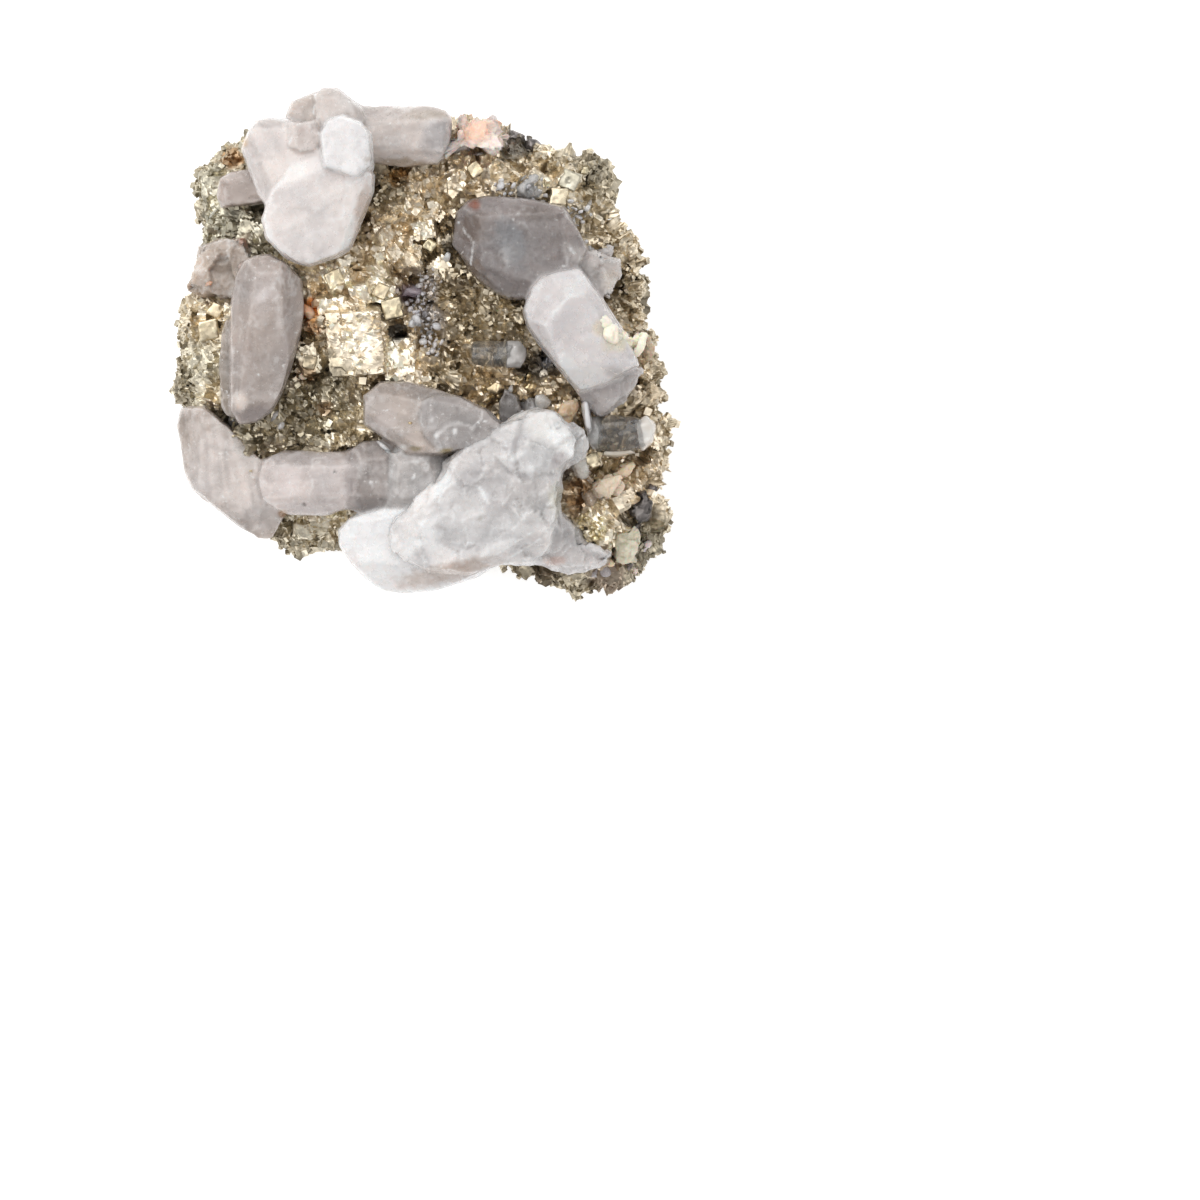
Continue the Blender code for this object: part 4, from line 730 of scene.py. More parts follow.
lowerQuartz = {
    "endLeft": {
        "rim": [(-33.7, -9.0), (-34.4, -11.8), (-34.0, -14.6), (-33.2, -18.5), (-32.1, -21.1),
                (-30.0, -23.0), (-27.6, -24.6), (-25.3, -26.5), (-23.1, -27.7), (-20.9, -27.9),
                (-18.8, -23.9), (-19.7, -19.7), (-22.3, -16.2), (-25.6, -12.7), (-30.2, -9.0)],
        "middle": (-26.5, -18.8), "top": 19.5, "foot": 9.0, "dip": (235, 9),
        "bevels": [(188, 4.6, 40), (238, 4.4, 46), (285, 5.4, 40)],
        "tone": (213, 204, 199), "lumps": 0.16, "streaks": (98, 0.16),
    },
    "leftBar": {
        "rim": [(-22.3, -22.3), (-23.0, -19.2), (-22.1, -16.4), (-19.5, -15.3), (-14.1, -15.1),
                (-9.1, -15.7), (-8.8, -23.1), (-12.7, -24.4), (-18.3, -24.5), (-20.4, -23.7)],
        "middle": (-15.8, -19.7), "top": 24.0, "foot": 13.0, "dip": (245, 5),
        "bevels": [(92, 2.2, 42), (268, 2.4, 46), (172, 4.6, 34)],
        "tone": (206, 196, 192), "lumps": 0.14, "streaks": (4, 0.08),
    },
    "stepDark": {
        "rim": [(-10.5, -15.5), (-8.3, -14.0), (-5.0, -13.6), (-2.7, -15.5), (-2.7, -23.4), (-8.5, -24.1),
                (-10.4, -23.4)],
        "middle": (-6.9, -19.2), "top": 25.0, "foot": 14.0, "dip": (255, 8),
        "bevels": [(0, 2.2, 50), (95, 2.6, 36), (265, 2.6, 46), (175, 1.9, 42)],
        "tone": (164, 155, 151), "lumps": 0.10, "streaks": (92, 0.12),
    },
    "stepLight": {
        "rim": [(-4.3, -15.5), (-0.1, -15.0), (4.1, -16.0), (5.5, -19.5), (2.7, -23.0), (-1.5, -24.4),
                (-5.0, -23.4)],
        "middle": (-0.8, -19.7), "top": 26.0, "foot": 14.0, "dip": (255, 7),
        "bevels": [(10, 2.6, 45), (100, 2.8, 34), (262, 2.4, 40), (180, 2.6, 48)],
        "tone": (184, 180, 178), "lumps": 0.10, "streaks": (92, 0.1),
    },
    "upperPink": {
        "rim": [(-8.0, -11.8), (-8.1, -7.6), (-5.7, -5.7), (-1.5, -5.7), (3.4, -7.1), (6.9, -9.7),
                (6.9, -14.6), (2.7, -16.2), (-1.8, -16.0), (-5.0, -13.9)],
        "middle": (-2.2, -10.4), "top": 28.5, "foot": 17.0, "dip": (205, 6),
        "bevels": [(233, 2.7, 44), (85, 2.3, 42), (165, 4.4, 30)],
        "tone": (179, 167, 159), "lumps": 0.10, "streaks": (160, 0.16),
    },
    "upperGrey": {
        "rim": [(-0.4, -10.4), (0.3, -8.3), (2.0, -7.4), (5.5, -7.7), (9.7, -9.7), (12.2, -12.2),
                (10.4, -14.6), (6.2, -15.7), (2.7, -15.7), (0.4, -13.3)],
        "middle": (4.8, -11.1), "top": 30.0, "foot": 18.0, "dip": (185, 5),
        "bevels": [(85, 2.0, 38), (240, 3.2, 34), (172, 3.8, 34)],
        "tone": (165, 158, 155), "lumps": 0.10, "streaks": (155, 0.08),
    },
    "bottomBright": {
        "rim": [(-11.6, -28.6), (-11.8, -26.5), (-10.2, -24.6), (-6.4, -23.4), (-1.5, -22.8), (4.1, -23.0),
                (12.5, -25.1), (12.7, -29.8), (8.0, -33.2), (2.0, -35.1), (-2.9, -35.4), (-5.3, -35.0),
                (-7.7, -33.5), (-10.1, -30.9)],
        "middle": (-3.6, -27.9), "top": 24.5, "foot": 10.5, "dip": (225, 6),
        "bevels": [(262, 3.6, 52), (110, 3.4, 30), (190, 4.4, 30)],
        "tone": (250, 248, 248), "lumps": 0.12, "streaks": (15, 0.04),
    },
    "darkWedge": {
        "rim": [(10.8, -8.5), (11.8, -6.0), (13.2, -5.9), (13.7, -7.7), (15.5, -8.8), (15.3, -11.3),
                (12.7, -12.5), (10.8, -11.6)],
        "middle": (13.0, -9.4), "top": 22.5, "foot": 16.0, "dip": (265, 8),
        "bevels": [(180, 1.2, 40), (0, 1.4, 40)],
        "tone": (104, 99, 96), "lumps": 0.08,
    },
}

whiteQuartz = {
    "whiteBody": {
        "rim": [(-2.9, -30.5), (-4.2, -28.7), (-4.3, -26.2), (-3.5, -24.5), (0.6, -20.6), (5.7, -15.5),
                (11.1, -12.0), (16.0, -9.9), (18.3, -10.6), (20.1, -12.8), (20.4, -15.3), (19.4, -21.9),
                (18.6, -27.9), (17.2, -30.9), (11.1, -31.9), (6.2, -32.8), (0.6, -32.1)],
        "middle": (9.7, -22.3), "top": 30.0, "foot": 13.0, "dip": (228, 4),
        "bevels": [(135, 5.2, 36), (285, 6.6, 36), (215, 10.2, 26), (25, 8.0, 30), (60, 9.4, 26)],
        "tone": (222, 219, 218), "lumps": 0.30, "broken": 0.45,
    },
    "whiteLowRight": {
        "rim": [(16.0, -22.5), (19.6, -22.0), (21.4, -23.6), (21.9, -26.2), (25.0, -28.4), (26.2, -30.0),
                (24.4, -31.2), (18.8, -31.6), (15.0, -30.2)],
        "middle": (19.6, -27.4), "top": 26.0, "foot": 14.0, "dip": (310, 12),
        "bevels": [(330, 1.6, 38), (270, 2.0, 36), (60, 1.4, 30)],
        "tone": (218, 213, 211), "lumps": 0.3, "broken": 0.6,
    },
    "whiteUpper": {
        "rim": [(10.6, -12.9), (13.6, -10.6), (16.0, -9.8), (18.6, -9.9), (21.0, -12.0), (22.3, -14.2),
                (21.7, -16.6), (17.8, -18.6), (13.2, -18.6), (10.6, -16.0)],
        "middle": (16.2, -15.0), "top": 31.5, "foot": 20.0, "dip": (60, 7),
        "bevels": [(160, 3.4, 34), (290, 2.6, 30), (235, 3.0, 24)],
        "tone": (220, 218, 217), "lumps": 0.2, "broken": 0.6,
    },
    "whiteShoulder": {
        "rim": [(3.6, -17.4), (7.6, -13.9), (11.4, -11.9), (13.4, -13.4), (11.0, -18.6), (6.4, -20.6)],
        "middle": (8.6, -16.0), "top": 30.2, "foot": 18.0, "dip": (150, 10),
        "bevels": [(120, 1.6, 34), (320, 1.8, 26)],
        "tone": (204, 200, 199), "lumps": 0.3, "broken": 0.45,
    },
    "whiteSpur": {
        "rim": [(17.0, -11.6), (19.6, -10.9), (22.4, -13.4), (22.9, -16.0), (20.8, -17.4), (18.4, -15.4)],
        "middle": (20.2, -14.0), "top": 28.6, "foot": 18.0, "dip": (20, 16),
        "bevels": [(300, 1.4, 36)],
        "tone": (222, 218, 214), "lumps": 0.5, "broken": 1.4,
    },
    "whiteRidge": {
        "rim": [(12.6, -19.6), (16.6, -18.8), (19.0, -21.2), (18.4, -25.0), (14.4, -25.6), (11.8, -22.6)],
        "middle": (15.4, -22.0), "top": 30.4, "foot": 18.0, "dip": (340, 10),
        "bevels": [(20, 1.8, 30), (200, 2.0, 20)],
        "tone": (216, 212, 209), "lumps": 0.4, "broken": 0.6,
    },
    "whiteFoot": {
        "rim": [(17.6, -26.8), (20.4, -26.2), (24.4, -28.4), (27.0, -29.4), (26.2, -31.0), (20.6, -31.9),
                (17.2, -30.6)],
        "middle": (21.4, -29.2), "top": 24.4, "foot": 14.0, "dip": (320, 12),
        "bevels": [(20, 1.6, 30), (250, 1.6, 30)],
        "tone": (210, 206, 205), "lumps": 0.4, "broken": 1.1,
    },
}

rightQuartz = {
    "smoky": {
        "rim": [(4.3, 13.4), (4.9, 18.1), (6.6, 19.7), (9.0, 20.4), (11.8, 20.2), (17.4, 19.5),
                (20.3, 18.8), (22.3, 15.3), (23.7, 12.7), (21.6, 9.2), (17.4, 6.0), (13.2, 5.7),
                (10.4, 7.4), (7.1, 9.9)],
        "middle": (13.9, 14.1), "top": 27.0, "foot": 16.0, "dip": (240, 6),
        "bevels": [(98, 3.4, 38), (250, 5.4, 36), (190, 5.6, 34), (0, 6.6, 30)],
        "tone": (150, 141, 139), "lumps": 0.14, "streaks": (150, 0.12),
    },
    "smokyLow": {
        "rim": [(6.3, 10.5), (6.3, 13.6), (8.8, 14.7), (11.6, 12.7), (13.2, 7.8), (12.5, 5.6), (9.7, 7.0),
                (7.7, 8.5)],
        "middle": (9.4, 10.5), "top": 25.0, "foot": 17.0, "dip": (225, 14),
        "bevels": [(215, 1.8, 30)],
        "tone": (136, 123, 112), "lumps": 0.12,
    },
    "rightWhite": {
        "rim": [(14.1, 4.1), (15.3, 7.4), (16.7, 9.0), (19.5, 9.9), (22.3, 10.2), (23.9, 8.5), (26.2, 4.9),
                (28.6, 1.3), (30.2, -2.0), (30.8, -4.3), (29.3, -5.3), (25.8, -6.3), (22.8, -8.0),
                (20.6, -5.9), (18.1, -2.9), (16.0, -0.1), (14.7, 1.8)],
        "middle": (22.0, 1.5), "top": 31.5, "foot": 15.0, "dip": (310, 9),
        "bevels": [(140, 3.9, 34), (92, 4.6, 40), (25, 3.4, 42), (212, 4.2, 44), (285, 5.4, 34)],
        "tone": (236, 231, 231), "lumps": 0.10, "streaks": (125, 0.05),
    },
    "greyEnd": {
        "rim": [(20.6, -4.0), (22.4, -8.6), (24.8, -10.4), (27.4, -8.9), (30.0, -6.4), (31.2, -4.0),
                (26.0, -3.0)],
        "middle": (25.6, -6.2), "top": 25.0, "foot": 15.0, "dip": (300, 14),
        "bevels": [(250, 1.8, 34), (330, 2.2, 34)],
        "tone": (196, 190, 189), "lumps": 0.3, "broken": 0.7,
    },
    "behindGrey": {
        "rim": [(17.8, 10.2), (18.9, 12.2), (21.6, 13.0), (25.1, 12.2), (27.9, 11.6), (28.4, 9.2),
                (26.7, 5.7), (23.0, 6.3), (18.9, 7.8)],
        "middle": (23.4, 9.7), "top": 25.0, "foot": 15.0, "dip": (80, 8),
        "bevels": [(110, 1.8, 42), (20, 2.6, 45)],
        "tone": (198, 191, 187), "lumps": 0.3, "broken": 0.9,
    },
}

smallClearQuartz = {
    "smallClear": {
        "rim": [(6.9, -0.6), (7.4, 0.0), (12.5, 0.1), (14.0, -0.1), (14.8, -1.3), (14.7, -2.7),
                (13.9, -3.8), (11.8, -3.8), (7.4, -3.5), (6.9, -2.8)],
        "middle": (10.6, -1.8), "top": 23.5, "foot": 18.0, "dip": (0, 3),
        "bevels": [(90, 0.9, 50), (270, 0.9, 50), (0, 2.2, 40), (180, 3.4, 50)],
        "tone": (200, 200, 200), "lumps": 0.02,
    },
}

edgeClearQuartz = {
    "edgeClear": {
        "rim": [(22.9, -11.8), (23.9, -10.5), (26.5, -10.2), (30.1, -10.5), (32.3, -11.8), (32.6, -13.4),
                (31.4, -15.1), (27.9, -15.7), (24.6, -15.5), (23.2, -14.3)],
        "middle": (27.3, -12.9), "top": 22.6, "foot": 15.0, "dip": (0, 4),
        "bevels": [(90, 1.5, 46), (270, 1.4, 46), (0, 3.2, 40), (180, 3.2, 40)],
        "tone": (205, 203, 202), "lumps": 0.03,
    },
}

frostedSmall = {
    "smallTip": {
        "rim": [(12.0, 0.1), (13.9, 0.05), (14.9, -1.1), (14.9, -2.7), (14.0, -3.9), (11.8, -3.85)],
        "middle": (13.5, -1.9), "top": 23.55, "foot": 18.4, "dip": (0, 3),
        "bevels": [(20, 0.3, 34), (90, 1.0, 44), (270, 1.2, 44), (180, 0.5, 16)],
        "tone": (178, 174, 170), "lumps": 0.03,
    },
}

frostedEdge = {
    "edgeLeft": {
        "rim": [(23.2, -11.0), (24.8, -10.5), (25.3, -12.8), (24.9, -15.2), (23.9, -15.6), (23.0, -13.9)],
        "middle": (24.3, -12.9), "top": 22.3, "foot": 15.5, "dip": (170, 12),
        "bevels": [(80, 1.4, 40), (280, 1.4, 44)],
        "tone": (255, 252, 250), "lumps": 0.15,
    },
    "edgeRight": {
        "rim": [(30.0, -11.3), (31.5, -10.4), (32.8, -12.1), (32.5, -14.1), (30.9, -15.6), (29.8, -14.0)],
        "middle": (30.8, -13.0), "top": 22.1, "foot": 15.5, "dip": (0, 12),
        "bevels": [(80, 1.4, 40), (280, 1.4, 44)],
        "tone": (254, 246, 236), "lumps": 0.3,
    },
    "edgeLower": {
        "rim": [(25.6, -15.1), (29.4, -14.9), (30.2, -15.7), (27.6, -16.4), (25.2, -16.1)],
        "middle": (27.4, -15.3), "top": 21.4, "foot": 16.0, "dip": (270, 16),
        "bevels": [(180, 1.6, 34)],
        "tone": (255, 246, 230), "lumps": 0.2,
    },
    "thin": {
        "rim": [(22.3, -8.9), (22.8, -8.1), (23.6, -8.4), (24.1, -12.2), (23.6, -13.1), (22.8, -12.2)],
        "middle": (23.2, -10.4), "top": 24.6, "foot": 16.0, "dip": (90, 5),
        "bevels": [(0, 0.4, 44), (180, 0.4, 40)],
        "tone": (250, 248, 250), "lumps": 0.03,
    },
}

lumps = {
    "pinkCarbonate": {
        "rim": [(4.6, 27.4), (4.7, 30.0), (6.0, 31.3), (8.6, 31.4), (10.9, 30.4), (12.4, 28.4),
                (10.8, 26.6), (7.4, 25.8), (5.4, 26.2)],
        "middle": (7.7, 29.0), "top": 24.0, "foot": 18.5, "dip": (80, 14),
        "bevels": [(100, 1.4, 30), (0, 2.0, 30), (250, 1.6, 30)],
        "tone": (236, 220, 214), "lumps": 0.8, "broken": 1.9, "edge": 0.25,
    },
    "creamCarbonateRight": {
        "rim": [(30.4, 0.8), (31.2, 1.4), (32.3, 0.7), (33.0, -1.0), (32.3, -2.9), (31.4, -2.6)],
        "middle": (31.7, -0.6), "top": 18.0, "foot": 13.5, "dip": (0, 12),
        "bevels": [(90, 1.0, 36), (270, 1.0, 36)],
        "tone": (240, 220, 180), "lumps": 0.6, "broken": 1.6, "edge": 0.3,
    },
    "creamCarbonateLower": {
        "rim": [(23.9, -20.6), (25.6, -18.6), (28.1, -18.1), (29.0, -19.7), (27.9, -21.4), (25.3, -21.7)],
        "middle": (26.6, -19.9), "top": 23.4, "foot": 18.5, "dip": (120, 8),
        "bevels": [(0, 1.4, 36), (180, 1.6, 36)],
        "tone": (232, 210, 176), "lumps": 0.6, "broken": 1.6, "edge": 0.3,
    },
    "greenCarbonateCorner": {
        "rim": [(26.5, -28.6), (27.3, -27.0), (29.3, -26.5), (30.7, -27.9), (30.1, -30.1), (28.1, -30.9),
                (26.7, -30.1)],
        "middle": (28.6, -28.7), "top": 18.6, "foot": 14.0, "dip": (300, 9),
        "bevels": [(100, 1.4, 34), (230, 1.4, 34)],
        "tone": (205, 205, 180), "lumps": 0.6, "broken": 1.6, "edge": 0.3,
    },
    "leadOre": {
        "rim": [(29.8, -21.6), (31.4, -20.7), (32.3, -22.3), (32.1, -24.5), (30.7, -25.6), (29.5, -24.2)],
        "middle": (30.9, -23.1), "top": 18.8, "foot": 13.0, "dip": (350, 10),
        "bevels": [(0, 0.9, 30)],
        "tone": (70, 68, 70), "lumps": 0.15, "broken": 1.0,
    },
}

crystalGroups = (upperLeftQuartz, leftQuartz, lowerQuartz, whiteQuartz, rightQuartz, smallClearQuartz,
                 edgeClearQuartz, frostedSmall, frostedEdge, lumps)

crystalShape = {
    "leanAbove": 5, "leanBelow": 22, "waistShare": 0.4,
    "edge": 0.07,             # how round a crystal's own edges are
    "softEdge": 0.5,          # reach of the painted highlight along an edge
    "ridgeGain": 5.0,
    "sharpEdge": 0.08,        # width over which one face's own shade meets the next
    "cell": 0.28,             # spacing of the net of points
    "margin": 1.6,            # room left round each crystal on the net, and above it
    "headroom": 1.5,
    "brokenFaces": [(4.8, 0.28, 0.04), (1.9, 0.20, 0.05)],     # size, slope and step on rough quartz
    "toneBlend": 0.42,        # width over which two crystals' colours meet, as a share of the blend
}

# Marks on the quartz, seen from above, partly the crystals' own colour and partly painted highlights, such as
# the light ovals at (-21.8, 6.2) and (-18.3, -19.6): x, y, two radii, turn, colour, strength.
quartzMarksAndHighlights = [
    (-21.8, 6.2, 1.6, 0.9, 40, (238, 232, 230), 0.7), (-25.0, -8.7, 1.1, 1.3, 0, (232, 218, 208), 0.8),
    (-22.6, -10.4, 3.2, 1.4, 10, (150, 140, 138), 0.7), (-24.6, 14.1, 1.2, 0.9, 0, (170, 110, 90), 0.6),
    (-24.9, 27.8, 0.9, 1.3, 20, (206, 170, 130), 0.8), (-8.0, 18.6, 1.0, 3.4, -12, (206, 190, 178), 0.7),
    (-18.3, -19.6, 2.0, 2.5, 10, (232, 222, 219), 0.75), (-19.4, -24.2, 0.8, 0.7, 0, (160, 120, 80), 0.8),
    (-9.8, -19.5, 1.2, 3.6, 0, (160, 150, 148), 0.5), (-12.0, -18.3, 0.25, 0.25, 0, (60, 50, 44), 0.8),
    (-16.3, -22.9, 0.25, 0.25, 0, (70, 50, 44), 0.8), (-27.0, -25.2, 4.6, 1.8, -32, (168, 158, 152), 0.6),
    (-5.0, -11.2, 2.2, 1.9, 20, (214, 204, 200), 0.5), (-3.0, -15.3, 1.2, 0.6, 30, (240, 238, 236), 0.7),
    (3.6, -15.5, 1.1, 0.45, 10, (150, 134, 90), 0.8), (-0.6, -15.2, 0.9, 0.4, 0, (140, 124, 84), 0.8),
    (8.9, -21.6, 0.7, 1.5, 25, (246, 246, 246), 0.85), (15.4, -18.3, 0.6, 1.0, -10, (248, 248, 248), 0.9),
    (3.8, -19.9, 1.1, 0.8, 40, (244, 244, 244), 0.7), (4.8, -12.8, 0.4, 0.5, 0, (246, 246, 246), 0.8),
    (2.2, -13.4, 0.4, 0.4, 0, (246, 246, 246), 0.8), (17.6, -12.6, 3.4, 2.0, -20, (236, 234, 230), 0.6),
    (19.4, -16.6, 1.6, 1.2, 30, (176, 168, 168), 0.6), (8.4, -24.8, 0.25, 0.5, 0, (130, 120, 80), 0.7),
    (18.8, -30.8, 1.6, 0.8, 10, (226, 186, 170), 0.4), (21.2, -20.6, 1.8, 2.8, 0, (150, 130, 112), 0.7),
    (3.6, -32.4, 7.6, 1.6, 14, (196, 181, 171), 0.85), (-10.0, -31.0, 1.4, 2.4, -30, (214, 206, 204), 0.5),
    (2.2, 28.6, 2.6, 3.0, 0, (176, 173, 174), 0.7), (-2.0, 24.6, 4.6, 0.9, -4, (160, 140, 116), 0.7),
    (1.0, 31.4, 3.4, 0.9, 0, (188, 176, 162), 0.6), (12.8, 13.6, 2.2, 4.0, 20, (150, 152, 156), 0.7),
    (7.6, 18.9, 0.9, 0.7, 0, (168, 96, 66), 0.7), (7.0, 15.4, 2.4, 2.6, 0, (132, 112, 98), 0.5),
    (17.8, 5.9, 0.6, 0.35, 40, (248, 248, 248), 0.9), (27.2, -0.2, 2.0, 1.8, -30, (252, 240, 220), 0.9),
    (25.0, 1.4, 1.0, 1.2, 0, (240, 222, 190), 0.6), (27.6, -5.0, 2.6, 1.0, -20, (188, 182, 178), 0.5),
    (-18.6, 28.4, 0.5, 1.6, 10, (240, 234, 230), 0.7), (-9.8, 33.4, 2.2, 1.6, 0, (216, 212, 210), 0.5),
    (6.4, 9.6, 2.6, 2.0, 30, (124, 102, 84), 0.6), (16.4, 17.6, 3.6, 1.4, -8, (120, 108, 100), 0.5),
    (21.8, 12.0, 1.3, 2.4, 30, (196, 192, 190), 0.6), (23.6, 11.6, 3.2, 1.6, -10, (222, 214, 210), 0.6),
    (26.6, 8.4, 1.6, 1.6, 0, (226, 216, 204), 0.5), (-22.0, 6.6, 2.4, 3.0, 0, (204, 194, 190), 0.5),
    (-24.0, -1.0, 1.2, 6.0, 4, (170, 158, 152), 0.5), (-18.6, 1.6, 1.0, 6.0, -6, (170, 160, 156), 0.5),
    (12.0, -21.0, 5.0, 3.6, 30, (198, 194, 194), 0.5), (6.0, -24.6, 3.6, 2.4, 20, (228, 226, 225), 0.6),
    (14.6, -25.4, 3.0, 2.2, -30, (230, 228, 227), 0.6), (0.8, -27.4, 2.4, 2.0, 0, (246, 246, 246), 0.6),
    (7.7, 29.2, 2.4, 1.9, 10, (250, 202, 174), 0.85), (10.4, 28.0, 1.2, 1.0, 0, (246, 220, 210), 0.6),
    (19.6, -14.0, 2.8, 1.5, -42, (252, 251, 249), 0.85), (3.2, -19.8, 2.4, 0.6, 60, (250, 250, 249), 0.75),
    (18.9, -22.2, 1.2, 2.2, 0, (206, 204, 184), 0.5), (13.0, -14.6, 2.6, 1.0, 34, (190, 186, 187), 0.5),
    (7.4, -18.4, 3.4, 1.2, 48, (188, 184, 185), 0.5), (1.6, -25.2, 3.0, 0.9, 30, (250, 250, 250), 0.6),
    (10.8, -29.0, 3.2, 0.8, 24, (248, 247, 246), 0.6), (16.4, -27.8, 1.6, 0.9, -20, (198, 192, 190), 0.5),
    (13.6, -16.2, 1.6, 0.5, 30, (250, 250, 250), 0.6), (-1.6, -29.0, 0.8, 1.8, 20, (250, 250, 250), 0.6),
]

# Painted highlights: thin white lines along ridges, broken into pieces: two ends and a width.
ridgeHighlightLines = [
    ((18.4, 3.4), (19.8, 5.0), 0.26), ((19.8, 5.0), (20.9, 6.2), 0.22), ((20.9, 6.2), (22.0, 8.1), 0.26),
    ((17.4, 3.8), (18.1, 3.7), 0.22), ((17.1, 8.3), (15.7, 4.2), 0.14), ((7.4, -10.4), (9.4, -11.6), 0.12),
    ((-9.0, 21.8), (-7.0, 23.0), 0.14), ((-18.4, 26.8), (-16.8, 30.0), 0.12),
    ((-14.6, 35.0), (-14.9, 31.6), 0.1), ((-0.9, -18.8), (-1.2, -20.2), 0.2),
    ((-6.9, -19.8), (-6.5, -21.0), 0.18), ((10.5, -30.0), (15.5, -26.8), 0.12),
    ((12.2, -30.6), (16.8, -27.7), 0.1), ((2.6, -22.4), (5.0, -17.2), 0.16),
    ((8.2, -20.6), (9.6, -22.9), 0.2), ((16.6, -11.0), (21.6, -15.6), 0.16),
    ((11.2, -23.4), (14.0, -19.6), 0.1), ((5.3, 16.4), (7.4, 13.6), 0.14), ((7.4, 13.6), (7.0, 10.6), 0.12),
    ((20.4, 13.2), (23.2, 10.6), 0.22),
]


def leaningNormal(direction, slope):
    # A unit vector that leans from straight up by the slope towards the direction, in radians
    side = math.sin(slope)
    return np.array((side * math.cos(direction), side * math.sin(direction), math.cos(slope)))


def crystalPlanes(form):
    # Middle and outward normal of each face, and how round the edges are: two leaning faces for
    # each side of the outline, one dipping top face, its bevels, and the foot
    rim = np.array(form["rim"])
    following = np.roll(rim, -1, axis=0)
    if (rim[:, 0] * following[:, 1] - following[:, 0] * rim[:, 1]).sum() < 0:
        rim = rim[::-1]
    sides = np.roll(rim, -1, axis=0) - rim
    out = np.stack([sides[:, 1], -sides[:, 0]], axis=-1) / np.linalg.norm(sides, axis=-1, keepdims=True)
    waist = form["top"] - crystalShape["waistShare"] * (form["top"] - form["foot"])
    at = np.concatenate([rim, np.full((len(rim), 1), waist)], axis=-1)
    middles, normals = [], []
    for lean, way in ((crystalShape["leanAbove"], 1.0), (crystalShape["leanBelow"], -1.0)):
        lean = math.radians(lean)
        rise = np.full((len(rim), 1), way * math.sin(lean))
        middles.append(at)
        normals.append(np.concatenate([out * math.cos(lean), rise], axis=-1))
    middle = np.array((*form["middle"], form["top"]))
    dipping = leaningNormal(*np.radians(form["dip"]))
    middles.append(middle[None])
    normals.append(dipping[None])
    for direction, distance, slope in form["bevels"]:
        direction, slope = math.radians(direction), math.radians(slope)
        move = np.array((math.cos(direction), math.sin(direction), 0.0)) * distance
        move[2] = -(dipping[0] * move[0] + dipping[1] * move[1]) / dipping[2]
        middles.append((middle + move)[None])
        normals.append(leaningNormal(direction, slope)[None])
    middles.append(np.array([(*form["middle"], form["foot"])]))
    normals.append(np.array([(0.0, 0.0, -1.0)]))
    return np.concatenate(middles), np.concatenate(normals), form.get("edge", crystalShape["edge"])


def crystalDistance(points, middles, normals, edge):
    # Soft greatest of the distances to a crystal's faces, with its slope
    gap = points @ normals.T - (middles * normals).sum(axis=-1)
    most = gap.max(axis=-1, keepdims=True)
    weight = np.exp((gap - most) / edge)
    total = weight.sum(axis=-1, keepdims=True)
    return (most + edge * np.log(total))[:, 0], (weight / total) @ normals, gap


def clusterAt(points, crystals, blend, toneBlend):
    # Soft least of the distances to all crystals of a cluster and its slope, each crystal's share
    # in its colour, how near the point is to a crystal's edge, and a number for each face
    distances, slopes, chipAndHighlightEdges, faces = [], [], [], []
    for number, (middles, normals, edge) in enumerate(crystals):
        distance, slope, gap = crystalDistance(points, middles, normals, edge)
        gap -= gap.max(axis=-1, keepdims=True)
        soft = np.exp(gap / crystalShape["softEdge"])
        soft /= soft.sum(axis=-1, keepdims=True)
        sharp = np.exp(gap / crystalShape["sharpEdge"])
        faceNumber = (np.arange(len(normals)) * 0.618 + 0.37 * number) % 1.0
        faces.append((sharp * faceNumber).sum(axis=-1) / sharp.sum(axis=-1))
        distances.append(distance)
        slopes.append(slope)
        chipAndHighlightEdges.append(1.0 - np.linalg.norm(soft @ normals, axis=-1))
    distances = np.stack(distances, axis=-1)
    least = distances.min(axis=-1, keepdims=True)
    share = np.exp((least - distances) / blend)
    total = share.sum(axis=-1, keepdims=True)
    share /= total
    field = (least - blend * np.log(total))[:, 0]
    slope = np.einsum("nk,nkj->nj", share, np.stack(slopes, axis=1))
    share = np.exp((least - distances) / toneBlend)
    share /= share.sum(axis=-1, keepdims=True)
    edgeChipAndHighlight = (share * np.stack(chipAndHighlightEdges, axis=-1)).sum(axis=-1)
    face = (share * np.stack(faces, axis=-1)).sum(axis=-1)
    return field, slope, share, np.clip(crystalShape["ridgeGain"] * edgeChipAndHighlight, 0.0, 1.0), face


